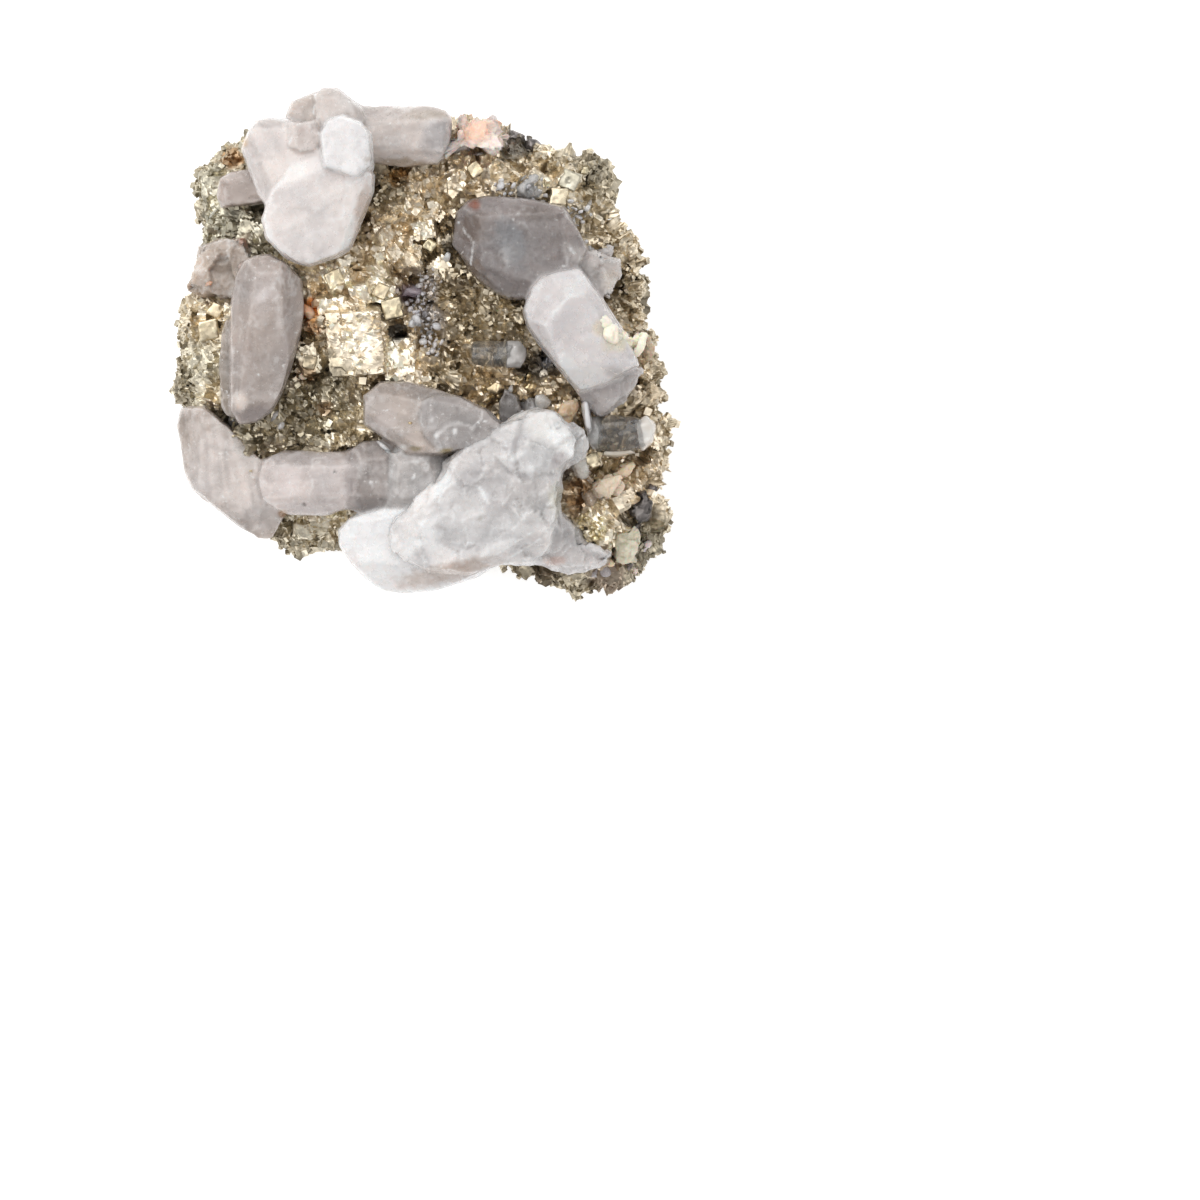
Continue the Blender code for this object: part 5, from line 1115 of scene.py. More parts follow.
def netSurface(field, low, cell):
    # The surface where a field on a lattice passes through nought: one point in every cell that
    # it crosses, at the mean of the crossings of that cell's edges, and a quad round each
    # crossed edge
    inside = field < 0.0
    size = np.array(field.shape) - 1
    corners = np.array(list(product((0, 1), repeat=3)))
    count = np.zeros(size, np.int8)
    for i, j, k in corners:
        count += inside[i:i + size[0], j:j + size[1], k:k + size[2]]
    crossed = (count > 0) & (count < 8)
    cells = np.argwhere(crossed)
    number = np.full(size, -1)
    number[crossed] = np.arange(len(cells))
    total = np.zeros((len(cells), 3))
    hits = np.zeros(len(cells))
    for first, axis in product(corners, range(3)):
        if first[axis] == 1:
            continue
        second = first.copy()
        second[axis] = 1
        a = field[tuple((cells + first).T)]
        b = field[tuple((cells + second).T)]
        here = np.nonzero((a < 0.0) != (b < 0.0))[0]
        total[here] += first + (a[here] / (a[here] - b[here]))[:, None] * (second - first)
        hits[here] += 1
    points = low + cell * (cells + total / hits[:, None])
    quads = []
    for axis in range(3):
        before = np.moveaxis(np.moveaxis(inside, axis, 0)[:-1], 0, axis)
        after = np.moveaxis(np.moveaxis(inside, axis, 0)[1:], 0, axis)
        edges = np.argwhere(before != after)
        outward = before[tuple(edges.T)]
        ring = []
        for back, side in ((0, 0), (1, 0), (1, 1), (0, 1)):
            shift = np.zeros(3, int)
            shift[(axis + 1) % 3], shift[(axis + 2) % 3] = back, side
            ring.append(number[tuple((edges - shift).T)])
        ring = np.stack(ring, axis=-1)
        quads.append(np.where(outward[:, None], ring, ring[:, ::-1]))
    return points, np.concatenate(quads)


def grownCluster(forms, salt, blend, cell=crystalShape["cell"], rootShaded=True):
    # Crystals of one cluster as a single closed surface: the net where their soft least distance
    # is nought, drawn on to it exactly along the slope, then roughened by waves of noise
    margin = crystalShape["margin"]
    headroom = (0.0, 0.0, crystalShape["headroom"])
    forms = list(forms.values())
    crystals = [crystalPlanes(form) for form in forms]
    boxes = []
    for form in forms:
        rim = np.array(form["rim"])
        boxes.append((np.array((*rim.min(axis=0), form["foot"])) - margin,
                      np.array((*rim.max(axis=0), form["top"])) + margin + headroom))
    low = np.min([box[0] for box in boxes], axis=0)
    high = np.max([box[1] for box in boxes], axis=0)
    counts = np.ceil((high - low) / cell).astype(int) + 1
    total = np.full(counts, 1e-9)
    for (boxLow, boxHigh), crystal in zip(boxes, crystals):
        start = np.floor((boxLow - low) / cell).astype(int)
        end = np.minimum(np.ceil((boxHigh - low) / cell).astype(int) + 1, counts)
        axes = [low[n] + cell * np.arange(start[n], end[n]) for n in range(3)]
        spots = np.stack(np.meshgrid(*axes, indexing="ij"), axis=-1)
        distance = crystalDistance(spots.reshape(-1, 3), *crystal)[0].reshape(spots.shape[:3])
        part = tuple(slice(a, b) for a, b in zip(start, end))
        total[part] += np.exp(-np.clip(distance, -8.0, 8.0) / blend)
    points, quads = netSurface(-blend * np.log(total), low, cell)
    toneBlend = crystalShape["toneBlend"] * blend
    for _ in range(2):
        field, slope, share, edgeChipAndHighlight, face = clusterAt(points, crystals, blend, toneBlend)
        points = points - slope * (field / np.maximum((slope ** 2).sum(axis=-1), 0.3))[:, None]
    normal = slope / np.linalg.norm(slope, axis=-1, keepdims=True)
    height = share @ np.array([form["lumps"] for form in forms])
    wave = cloud(points, 3.6, salt) + 0.6 * cloud(points, 1.7, salt + 1)
    chips = -0.3 * edgeChipAndHighlight * np.maximum(0.0, cloud(points, 0.9, salt + 3))
    points = points + normal * (height * wave + chips + 0.03 * cloud(points, 0.6, salt + 2))[:, None]
    rough = share @ np.array([form.get("broken", 0.0) for form in forms])
    if rough.max() > 0.0:
        for number, faces in enumerate(crystalShape["brokenFaces"]):
            points, broken = breakFaces(points, normal, face, *faces, rough, salt + 400 + 20 * number)
            face = face + (broken - face) * np.minimum(rough, 1.0)
    tone = quartzTone(forms, share, points, edgeChipAndHighlight, face, salt, rootShaded)
    return closedSurface(points, quads, np.zeros((0, 3), int), tone)


def strokeShare(points, start, end, width):
    # How close each point is to a line between two places, as 1 on it and 0 off it
    start, end = np.array(start), np.array(end)
    along = end - start
    part = np.clip(((points[:, :2] - start) @ along) / (along @ along), 0.0, 1.0)
    gap = np.linalg.norm(points[:, :2] - start - part[:, None] * along, axis=-1)
    return smoothStep(1.5 * width, 0.5 * width, gap)


quartzLook = {
    "milk": (3.4, (1.0, 1.0, 0.6)),            # size and stretch of the milky clouds
    "cloudy": (0.22, 0.3),                     # their strength: everywhere, and with a crystal's roughness
    "fine": (1.1, 0.06),                       # size and strength
    "faces": 0.26,                             # how much the faces differ
    "warmth": (0.03, 0.0, -0.03),
    "streaks": [(5.0, 0.6, 1.4, 1.0), (3.0, 0.3, 0.8, 0.6)],       # along, across, down, strength
    # painted shade in the creases where two crystals meet
    "creaseShade": 0.20,
    # painted highlight along a crystal's edges: strength and colour
    "edgeChipAndHighlight": (0.18, (246, 242, 240)),
    "veils": ((1.0, 0.5, 0.7), 2.4, 0.3, 0.8),         # stretch, size, how far bent and its size
    "veil": (0.45, (252, 250, 249)),
    "seams": ((0.6, 1.0, 0.8), 4.2, 0.2, 1.1),
    "seam": 0.12,
    # painted shade: darker and browner where a crystal goes into the rock
    "rootShade": (0.5, (0.66, 0.56, 0.46)),
    "rootShadeHeights": (2.4, -0.5),              # over the pyrite, where that painted shade ends and where it is full
    "litDepths": (8.0, 5.0),                   # under a crystal's top, where the marks end and are full
    # painted highlight lines along the ridges: strength and colour
    "ridgeGlint": (0.85, (252, 252, 252)),
}


def painted(colour, mark, share):
    # The colour moved towards another by a share
    return colour + (linearColour(*mark) - colour) * share[:, None]


def streakLines(turn, points, salt):
    # Fine lines along a crystal: noise drawn out in one direction
    turn = math.radians(turn)
    along = points[:, 0] * math.cos(turn) + points[:, 1] * math.sin(turn)
    across = points[:, 1] * math.cos(turn) - points[:, 0] * math.sin(turn)
    lines = np.zeros(len(points))
    for number, (long, wide, deep, strength) in enumerate(quartzLook["streaks"]):
        place = np.stack([along / long, across / wide, points[:, 2] / deep], axis=-1)
        lines += strength * cloud(place, 1.0, salt + number)
    return lines


def thinSheets(points, stretch, size, bend, bendSize, salt):
    # 1 on thin sheets: where a stretched noise, bent by a finer one, passes through nought
    bent = cloud(points * np.array(stretch), size, salt) + bend * cloud(points, bendSize, salt + 1)
    return 1.0 - np.abs(bent)


def markedQuartz(colour, points, fine, lit, salt):
    # The noted marks, stains and painted highlights, as ragged ovals, and the painted highlight lines along
    # ridges as broken lines
    ragged = 1.0 + 0.25 * cloud(points, 1.0, salt + 7) + 0.2 * cloud(points, 0.5, salt + 8)
    for x, y, long, wide, turn, mark, strength in quartzMarksAndHighlights:
        turn = math.radians(turn)
        gapX, gapY = points[:, 0] - x, points[:, 1] - y
        first = (gapX * math.cos(turn) + gapY * math.sin(turn)) / long
        second = (gapY * math.cos(turn) - gapX * math.sin(turn)) / wide
        inside = smoothStep(1.25, 0.45, np.hypot(first, second) * ragged)
        colour = painted(colour, mark, strength * lit * inside)
    # Painted highlights: white lines along the ridges
    strength, mark = quartzLook["ridgeGlint"]
    broken = smoothStep(-0.5, 0.3, cloud(points, 0.5, salt + 17) + 0.4 * fine)
    for start, end, width in ridgeHighlightLines:
        stroke = strokeShare(points, start, end, width * ragged)
        colour = painted(colour, mark, strength * lit * broken * stroke)
    return colour


def quartzTone(forms, share, points, edgeChipAndHighlight, face, salt, rootShaded):
    # The crystals' own colours by their shares, clouded by noise, with painted shade in the creases
    # between crystals, a painted highlight on ridges, painted shade, browner, where they go into the rock,
    # and the noted marks, stains and painted highlights, and the painted highlight lines along ridges on
    # what is high up
    colour = share @ np.array([linearColour(*form["tone"]) for form in forms])
    size, stretch = quartzLook["milk"]
    milky = 0.5 * cloud(points * np.array(stretch), size, salt + 5)
    size, fineShare = quartzLook["fine"]
    fine = cloud(points, size, salt + 6)
    plain, withRoughness = quartzLook["cloudy"]
    rough = share @ np.array([form["lumps"] + form.get("broken", 0.0) for form in forms])
    change = (plain + withRoughness * rough) * milky + fineShare * fine + quartzLook["faces"] * (face - 0.5)
    colour *= (1.0 + change)[:, None]
    colour *= 1.0 + milky[:, None] * np.array(quartzLook["warmth"])
    for number, form in enumerate(forms):
        if "streaks" in form:
            turn, strength = form["streaks"]
            lines = streakLines(turn, points, salt + 15)
            colour *= 1.0 + strength * (share[:, number] * lines)[:, None]
    # Painted shade in the creases where two crystals meet
    creaseShade = 2.0 * (1.0 - share.max(axis=-1))
    colour *= (1.0 - quartzLook["creaseShade"] * creaseShade * (0.7 + 0.5 * fine))[:, None]
    # Painted highlight: lighter along the crystals' edges
    strength, pale = quartzLook["edgeChipAndHighlight"]
    colour = painted(colour, pale, strength * edgeChipAndHighlight * (0.6 + 0.4 * fine))
    veils = smoothStep(0.86, 0.99, thinSheets(points, *quartzLook["veils"], salt + 9))
    patch = smoothStep(0.1, 0.6, cloud(points, 3.0, salt + 11))
    strength, pale = quartzLook["veil"]
    colour = painted(colour, pale, strength * patch * veils)
    seams = smoothStep(0.93, 0.995, thinSheets(points, *quartzLook["seams"], salt + 12))
    patch = smoothStep(0.2, 0.6, cloud(points, 5.0, salt + 14) + 0.4)
    colour *= (1.0 - quartzLook["seam"] * seams * patch)[:, None]
    # Painted shade: darker and browner where a crystal goes into the rock
    strength, tint = quartzLook["rootShade"]
    above = points[:, 2] - rockHeight(points[:, 0], points[:, 1]) + 0.8 * fine
    rootShade = (strength * rootShaded * smoothStep(*quartzLook["rootShadeHeights"], above))[:, None]
    colour *= 1.0 + (np.array(tint) - 1.0) * rootShade
    end, full = quartzLook["litDepths"]
    top = share @ np.array([form["top"] for form in forms])
    lit = smoothStep(top - end, top - full, points[:, 2])
    return np.clip(markedQuartz(colour, points, fine, lit, salt), 0.0, 1.0)


# Small things scattered over the rock and the crystals: x, y, half length, half width, turn,
# height (above the pyrite there, or the top's own height when over "ownHeight"), colour, unevenness.
scatter = {
    "seed": 17,
    "blend": 0.2,
    "cell": 0.175,
    "ownHeight": 12.0,
    "corners": (5, 6, 7),
    "jitter": 0.26,                # of a corner's angle, as a share of the angle between two
    "bevelTurn": 35,
    "bevelPlaces": (0.1, 0.55),    # as shares of the half width
    "bevelSlopes": (28, 56),
    "dips": (2, 12),
    "uneven": (0.35, 2.2),         # lumps and broken faces from the unevenness
    "edge": {"quartz": 0.12, "carbonate": 0.3, "ore": 0.1, "pyrite": 0.18, "cubes": 0.05},
    "cubes": [
        (-4.0, 4.5, 2.2, 2.1, 58, 1.5, (190, 176, 144), 0.05),
        (-5.6, 7.0, 1.6, 1.5, 20, 0.7, (196, 180, 148), 0.1),
        (20.8, 22.5, 2.0, 1.9, 22, 1.4, (176, 170, 150), 0.05),
        (19.3, 20.2, 1.9, 1.7, 40, 1.2, (232, 216, 184), 0.1),
        (-12.0, 8.6, 1.9, 1.7, 70, 0.9, (236, 218, 180), 0.1),
        (1.2, 13.4, 1.3, 1.2, 10, 0.8, (214, 200, 164), 0.1),
        (24.0, -16.8, 1.7, 1.5, 65, 1.3, (190, 176, 144), 0.1),
        (-15.6, -3.0, 1.5, 1.4, 30, 0.6, (176, 160, 128), 0.1),
        (-29.8, 1.6, 2.2, 2.0, 55, 0.9, (230, 214, 180), 0.1),
        (-28.8, 4.4, 1.6, 1.4, 15, 0.8, (222, 204, 168), 0.1),
        (22.9, 24.0, 1.0, 0.9, 35, 0.9, (176, 166, 136), 0.1),
        (7.6, 24.0, 1.5, 1.4, 80, 0.9, (232, 214, 176), 0.1),
    ],
    "clusterRise": {"pyrite": 0.9, "quartz": 1.4},
    "clusterGrain": (0.32, 0.6, 0.72, 0.2),        # half length from and to, width share, unevenness
    "clusterTurn": 2.4,                            # from one grain to the next, in radians
    # what, middle, reach, number of grains and colour of close clusters of small grains
    "clusters": [
        ("pyrite", 23.6, -26.1, 2.3, 20, (240, 226, 184)), ("pyrite", 10.0, -7.0, 1.5, 11, (226, 204, 156)),
        ("pyrite", 14.6, -5.4, 1.0, 6, (222, 200, 150)), ("pyrite", 26.4, -9.6, 1.6, 8, (206, 188, 146)),
        ("quartz", 1.2, 8.6, 1.7, 14, (236, 226, 224)), ("quartz", -0.1, 5.2, 1.9, 18, (228, 220, 226)),
        ("quartz", 0.6, 2.4, 1.9, 18, (238, 234, 236)), ("quartz", 1.6, -0.6, 1.6, 12, (224, 216, 214)),
        ("quartz", 22.0, 18.1, 2.0, 18, (240, 236, 236)), ("quartz", 11.6, 21.2, 1.5, 10, (232, 228, 228)),
        ("quartz", 16.4, 21.0, 1.7, 12, (206, 202, 204)), ("quartz", 22.6, 12.4, 1.6, 12, (228, 222, 222)),
    ],
    "quartz": [
        (25.1, -32.0, 1.9, 1.5, 20, 0.8, (190, 180, 181), 0.2),
        (33.3, -23.7, 2.1, 0.9, 80, 0.9, (206, 203, 200), 0.1),
        (-1.6, 7.1, 1.9, 1.0, -12, 0.5, (142, 122, 134), 0.1),
        (15.2, 21.6, 2.2, 1.8, 10, 0.9, (196, 193, 190), 0.4),
        (3.6, 11.7, 1.0, 0.9, 30, 1.8, (240, 237, 234), 0.1),
        (15.0, -9.8, 2.9, 2.0, 10, 1.4, (134, 130, 128), 0.2),
        (12.5, -6.9, 1.2, 0.55, 80, 2.0, (216, 213, 210), 0.05),
        (16.9, -8.6, 1.7, 1.4, 0, 1.7, (200, 196, 190), 0.2),
        (23.3, -10.4, 2.1, 0.6, 98, 2.3, (220, 217, 214), 0.1),
        (22.0, -18.4, 3.0, 2.2, 60, 1.3, (168, 146, 122), 0.4),
        (24.0, -21.8, 2.2, 1.4, 20, 1.0, (158, 138, 116), 0.4),
        (23.0, -29.4, 2.0, 1.2, 10, 1.4, (226, 223, 220), 0.4),
        (19.2, -12.4, 2.4, 0.9, -38, 31.2, (236, 233, 230), 0.4),
        (21.6, -15.2, 2.0, 0.8, -62, 27.0, (226, 220, 216), 0.5),
        (22.4, -17.8, 1.6, 0.8, -80, 25.0, (232, 226, 216), 0.5),
        (-29.0, 18.3, 1.7, 0.35, 48, 1.0, (206, 200, 176), 0.05),
        (-20.5, -10.6, 1.7, 0.6, 70, 1.0, (208, 204, 202), 0.2),
        (-19.6, -12.0, 1.0, 0.5, 60, 0.8, (196, 192, 190), 0.2),
        (9.9, 30.6, 1.4, 0.8, -10, 0.8, (232, 216, 212), 0.4),
        (5.6, 27.2, 1.6, 0.9, 20, 0.9, (228, 214, 210), 0.4),
        (11.4, 27.8, 1.5, 0.8, -35, 0.7, (238, 216, 208), 0.5),
        (8.4, 26.2, 1.8, 0.7, 0, 0.6, (222, 206, 200), 0.4),
        (25.8, 12.6, 1.6, 1.0, 30, 0.7, (206, 200, 198), 0.4),
        (29.0, 7.6, 1.3, 0.9, 60, 0.6, (196, 190, 188), 0.4),
        (-24.8, 9.6, 1.6, 0.7, 75, 21.6, (196, 170, 158), 0.3),
        (-5.2, -14.8, 1.5, 0.45, -38, 25.6, (232, 228, 226), 0.05),
        (-4.6, -15.5, 1.5, 0.35, -38, 25.2, (242, 239, 236), 0.05),
        (30.5, -12.2, 1.5, 0.9, 20, 1.6, (226, 222, 220), 0.3),
        (24.6, -13.2, 1.2, 1.0, 70, 2.2, (214, 211, 208), 0.1),
        (18.2, 5.2, 0.9, 0.35, 50, 30.4, (240, 237, 234), 0.05),
    ],
    "carbonate": [
        (20.6, -9.8, 2.1, 1.2, 82, 1.9, (226, 190, 140), 0.3),
        (26.7, 0.9, 1.9, 1.4, -30, 31.5, (254, 244, 224), 0.5),
        (25.6, 2.5, 1.1, 0.8, 0, 31.6, (252, 242, 226), 0.4),
        (30.2, -0.6, 2.2, 1.6, 60, 27.2, (252, 238, 212), 0.5),
        (28.6, 0.4, 1.5, 1.1, -20, 29.6, (244, 222, 190), 0.4),
        (24.7, -20.2, 1.3, 0.8, 10, 1.2, (214, 182, 140), 0.3),
        (28.4, -18.0, 1.9, 0.9, 35, 1.1, (240, 214, 176), 0.4),
        (26.3, -30.9, 1.5, 1.2, 0, 1.0, (238, 208, 162), 0.2),
        (31.6, -28.4, 1.6, 1.0, 60, 0.9, (236, 218, 220), 0.4),
        (29.6, -32.0, 1.0, 0.7, 0, 0.5, (226, 190, 176), 0.4),
        (20.4, -30.6, 1.3, 0.6, 20, 0.9, (234, 186, 166), 0.3),
        (-22.8, -25.4, 0.5, 0.4, 0, 0.5, (206, 150, 90), 0.2),
        (-16.6, -5.0, 1.0, 0.8, 0, 0.5, (206, 176, 142), 0.3),
        (-29.8, 8.0, 1.1, 0.8, 20, 21.2, (196, 132, 78), 0.4),
        (-15.7, 4.0, 1.6, 0.7, 82, 1.2, (222, 146, 72), 0.4),
        (-3.4, 24.0, 1.0, 0.7, 0, 0.6, (206, 168, 112), 0.3),
        (10.2, 29.8, 1.3, 1.0, -30, 1.2, (250, 200, 172), 0.4),
    ],
    "ore": [
        (12.8, 28.7, 2.9, 1.1, -22, 0.9, (128, 122, 120), 0.2),
        (15.6, 27.5, 1.6, 0.9, -18, 0.7, (108, 102, 100), 0.2),
        (17.6, -3.2, 1.6, 1.3, 30, 0.6, (88, 88, 94), 0.2),
        (32.0, -20.6, 1.2, 0.9, 0, 0.6, (92, 84, 84), 0.2),
        (30.3, -26.2, 1.2, 0.7, 40, 0.5, (96, 88, 88), 0.2),
        (-25.8, -11.0, 1.2, 0.9, 30, 0.4, (96, 94, 90), 0.2),
        (14.6, -12.0, 1.5, 1.0, -20, 1.0, (104, 100, 104), 0.2),
        (28.6, -31.6, 1.8, 1.0, 20, 0.4, (120, 108, 106), 0.3),
    ],
    "pyrite": [
        (-24.9, -12.6, 2.2, 1.8, 30, 20.4, (176, 164, 138), 0.3),
        (-23.6, -14.6, 1.6, 1.0, 60, 20.6, (150, 138, 114), 0.3),
        (-1.4, -11.6, 0.45, 0.3, 0, 28.9, (240, 220, 170), 0.1),
        (-0.6, -12.8, 0.5, 0.35, 30, 28.8, (236, 212, 156), 0.1),
        (-23.8, -18.2, 0.35, 0.3, 0, 20.6, (240, 224, 186), 0.1),
        (10.2, -6.9, 1.6, 1.4, 0, 2.4, (214, 192, 150), 0.5),
        (13.6, -5.2, 0.9, 0.8, 0, 1.6, (226, 204, 160), 0.3),
        (15.2, -6.4, 1.1, 0.9, 30, 1.9, (222, 198, 152), 0.3),
        (11.0, -11.2, 0.8, 0.5, 70, 1.6, (196, 170, 120), 0.4),
        (17.8, -5.4, 1.1, 0.8, 10, 1.4, (206, 184, 142), 0.3),
        (25.4, -9.4, 1.5, 1.1, 10, 2.4, (206, 188, 150), 0.4),
        (27.6, -8.6, 1.2, 0.8, -30, 2.0, (186, 168, 130), 0.4),
    ],
}


def scatteredForm(item, ground, pick, kind):
    # A small uneven crystal: a jittered polygon round an oval and seeded bevels, or a plain cube
    x, y, long, wide, turn, height, colour, unevenness = item
    if height < scatter["ownHeight"]:
        near = np.hypot(ground[:, 0] - x, ground[:, 1] - y) < max(0.8, wide)
        height += float(np.percentile(ground[near, 2], 60))
    turn = math.radians(turn)
    square = kind == "cubes"
    corners = 4 if square else scatter["corners"][pick.randrange(len(scatter["corners"]))]
    jitter = scatter["jitter"]
    rim = []
    for number in range(corners):
        angle = math.tau * (number + (0.0 if square else pick.uniform(-jitter, jitter))) / corners
        along, across = long * math.cos(angle), wide * math.sin(angle)
        rim.append((x + along * math.cos(turn) - across * math.sin(turn),
                    y + along * math.sin(turn) + across * math.cos(turn)))
    start, turned = pick.uniform(0, 360), scatter["bevelTurn"]
    bevels = [(start + 120 * n + pick.uniform(-turned, turned), wide * pick.uniform(*scatter["bevelPlaces"]),
               pick.uniform(*scatter["bevelSlopes"])) for n in range(0 if square else 3)]
    lumpy, broken = scatter["uneven"]
    return {"rim": rim, "middle": (x, y), "top": height, "foot": height - max(2.4, 1.6 * wide),
            "dip": (pick.uniform(0, 360), pick.uniform(*scatter["dips"])), "bevels": bevels,
            "tone": colour, "lumps": lumpy * unevenness, "broken": 0.0 if square else broken * unevenness,
            "edge": min(scatter["edge"][kind], 0.2 * wide)}


def scatteredForms(kind, ground):
    # The noted small things of one kind, then its close clusters as grains on a spiral
    pick = random.Random(scatter["seed"] + len(kind))
    items = list(scatter[kind])
    shortest, longest, narrow, unevenness = scatter["clusterGrain"]
    for what, x, y, reach, count, colour in scatter["clusters"]:
        for number in range(count if what == kind else 0):
            angle, radius = scatter["clusterTurn"] * number, reach * math.sqrt((number + 0.5) / count)
            long = pick.uniform(shortest, longest)
            items.append((x + radius * math.cos(angle), y + radius * math.sin(angle), long, long * narrow,
                          pick.uniform(0, 180), scatter["clusterRise"][kind] + 0.5 * (1 - radius / reach),
                          colour, unevenness))
    return [scatteredForm(item, ground, pick, kind) for item in items]


# Shader groups and materials

def addNode(tree, kind, values=None, **settings):
    node = tree.nodes.new(kind)
    for key, value in settings.items():
        setattr(node, key, value)
    for key, value in (values or {}).items():
        node.inputs[key].default_value = value
    return node


def wire(tree, *links):
    # Links given as node, output, node, input
    for source, output, target, entry in links:
        tree.links.new(source.outputs[output], target.inputs[entry])


def makeGroup(name, inputs, outputs):
    tree = bpy.data.node_groups.new(name, "ShaderNodeTree")
    for label, value in inputs.items():
        socket = tree.interface.new_socket(label, in_out="INPUT", socket_type="NodeSocketFloat")
        socket.default_value = value
    for label, kind in outputs.items():
        tree.interface.new_socket(label, in_out="OUTPUT", socket_type=kind)
    return tree, tree.nodes.new("NodeGroupInput"), tree.nodes.new("NodeGroupOutput")


def makeFacetGroup():
    # Small flat facets: each cell of an uneven pattern turns the normal its own way
    tree, given, result = makeGroup("smallFacets", {"Scale": 2500.0, "Tilt": 0.5},
                                    {"Normal": "NodeSocketVector", "Cell": "NodeSocketFloat"})
    place = addNode(tree, "ShaderNodeTexCoord")
    cells = addNode(tree, "ShaderNodeTexVoronoi", {"Randomness": 1.0}, feature="F1", voronoi_dimensions="3D")
    centred = addNode(tree, "ShaderNodeVectorMath", {1: (0.5, 0.5, 0.5)}, operation="SUBTRACT")
    scaled = addNode(tree, "ShaderNodeVectorMath", operation="SCALE")
    surface = addNode(tree, "ShaderNodeNewGeometry")
    total = addNode(tree, "ShaderNodeVectorMath", operation="ADD")
    unit = addNode(tree, "ShaderNodeVectorMath", operation="NORMALIZE")
    split = addNode(tree, "ShaderNodeSeparateColor")
    wire(tree, (place, "Object", cells, "Vector"), (given, "Scale", cells, "Scale"),
         (cells, "Color", centred, 0), (centred, "Vector", scaled, 0), (given, "Tilt", scaled, "Scale"),
         (surface, "Normal", total, 0), (scaled, "Vector", total, 1), (total, "Vector", unit, 0),
         (unit, "Vector", result, "Normal"), (cells, "Color", split, "Color"), (split, "Red", result, "Cell"))
    return tree


def makeCloudGroup():
    # Cloudy patches with a soft or a sharp edge
    tree, given, result = makeGroup("cloudyPatches", {"Scale": 300.0, "From": 0.4, "To": 0.6, "Warp": 0.0},
                                    {"Mask": "NodeSocketFloat"})
    place = addNode(tree, "ShaderNodeTexCoord")
    noise = addNode(tree, "ShaderNodeTexNoise", {"Detail": 5.0, "Roughness": 0.6})
    mapped = addNode(tree, "ShaderNodeMapRange", interpolation_type="SMOOTHSTEP")
    wire(tree, (place, "Object", noise, "Vector"), (given, "Scale", noise, "Scale"),
         (given, "Warp", noise, "Distortion"), (noise, "Fac", mapped, "Value"),
         (given, "From", mapped, "From Min"), (given, "To", mapped, "From Max"),
         (mapped, "Result", result, "Mask"))
    return tree


smallFacets = makeFacetGroup()
cloudyPatches = makeCloudGroup()


def newMaterial(name, **values):
    material = bpy.data.materials.new(name)
    material.use_nodes = True
    tree = material.node_tree
    shader = tree.nodes["Principled BSDF"]
    for key, value in values.items():
        shader.inputs[key.replace("_", " ")].default_value = value
    return material, tree, shader


def toneOf(tree):
    return addNode(tree, "ShaderNodeAttribute", attribute_name="tone").outputs["Color"]


def placeGroup(tree, group, **values):
    return addNode(tree, "ShaderNodeGroup", values, node_tree=group)


def cloudMask(tree, **values):
    return placeGroup(tree, cloudyPatches, **values).outputs["Mask"]


def mixColour(tree, factor, first, second, blend="MIX"):
    node = addNode(tree, "ShaderNodeMix", data_type="RGBA", blend_type=blend)
    for socket, value in ((node.inputs[0], factor), (node.inputs[6], first), (node.inputs[7], second)):
        if isinstance(value, bpy.types.NodeSocket):
            tree.links.new(value, socket)
        elif isinstance(value, (int, float)):
            socket.default_value = value
        else:
            socket.default_value = (*value, 1.0)
    return node.outputs[2]


def ranged(tree, value, low, high):
    # A value from 0 to 1 brought between two others
    node = addNode(tree, "ShaderNodeMapRange", {"To Min": low, "To Max": high})
    tree.links.new(value, node.inputs["Value"])
    return node.outputs["Result"]


def addBump(tree, shader, height, strength, distance):
    bump = addNode(tree, "ShaderNodeBump", {"Strength": strength, "Distance": distance})
    tree.links.new(height, bump.inputs["Height"])
    tree.links.new(bump.outputs["Normal"], shader.inputs["Normal"])


def metalMaterial(name, metallic, roughness, scale, tilt, light, dullness=None):
    # Each facet has its own slope and lightness; the dullness, if any, is cloudy
    material, tree, shader = newMaterial(name, Metallic=metallic, Roughness=roughness)
    facets = placeGroup(tree, smallFacets, Scale=scale, Tilt=tilt)
    lightness = ranged(tree, facets.outputs["Cell"], *light)
    grey = addNode(tree, "ShaderNodeCombineColor")
    for channel in ("Red", "Green", "Blue"):
        tree.links.new(lightness, grey.inputs[channel])
    colour = mixColour(tree, 1.0, toneOf(tree), grey.outputs["Color"], "MULTIPLY")
    tree.links.new(colour, shader.inputs["Base Color"])
    wire(tree, (facets, "Normal", shader, "Normal"))
    if dullness:
        dull = cloudMask(tree, Scale=900.0, From=0.42, To=0.62)
        tree.links.new(ranged(tree, dull, *dullness), shader.inputs["Roughness"])
    return material


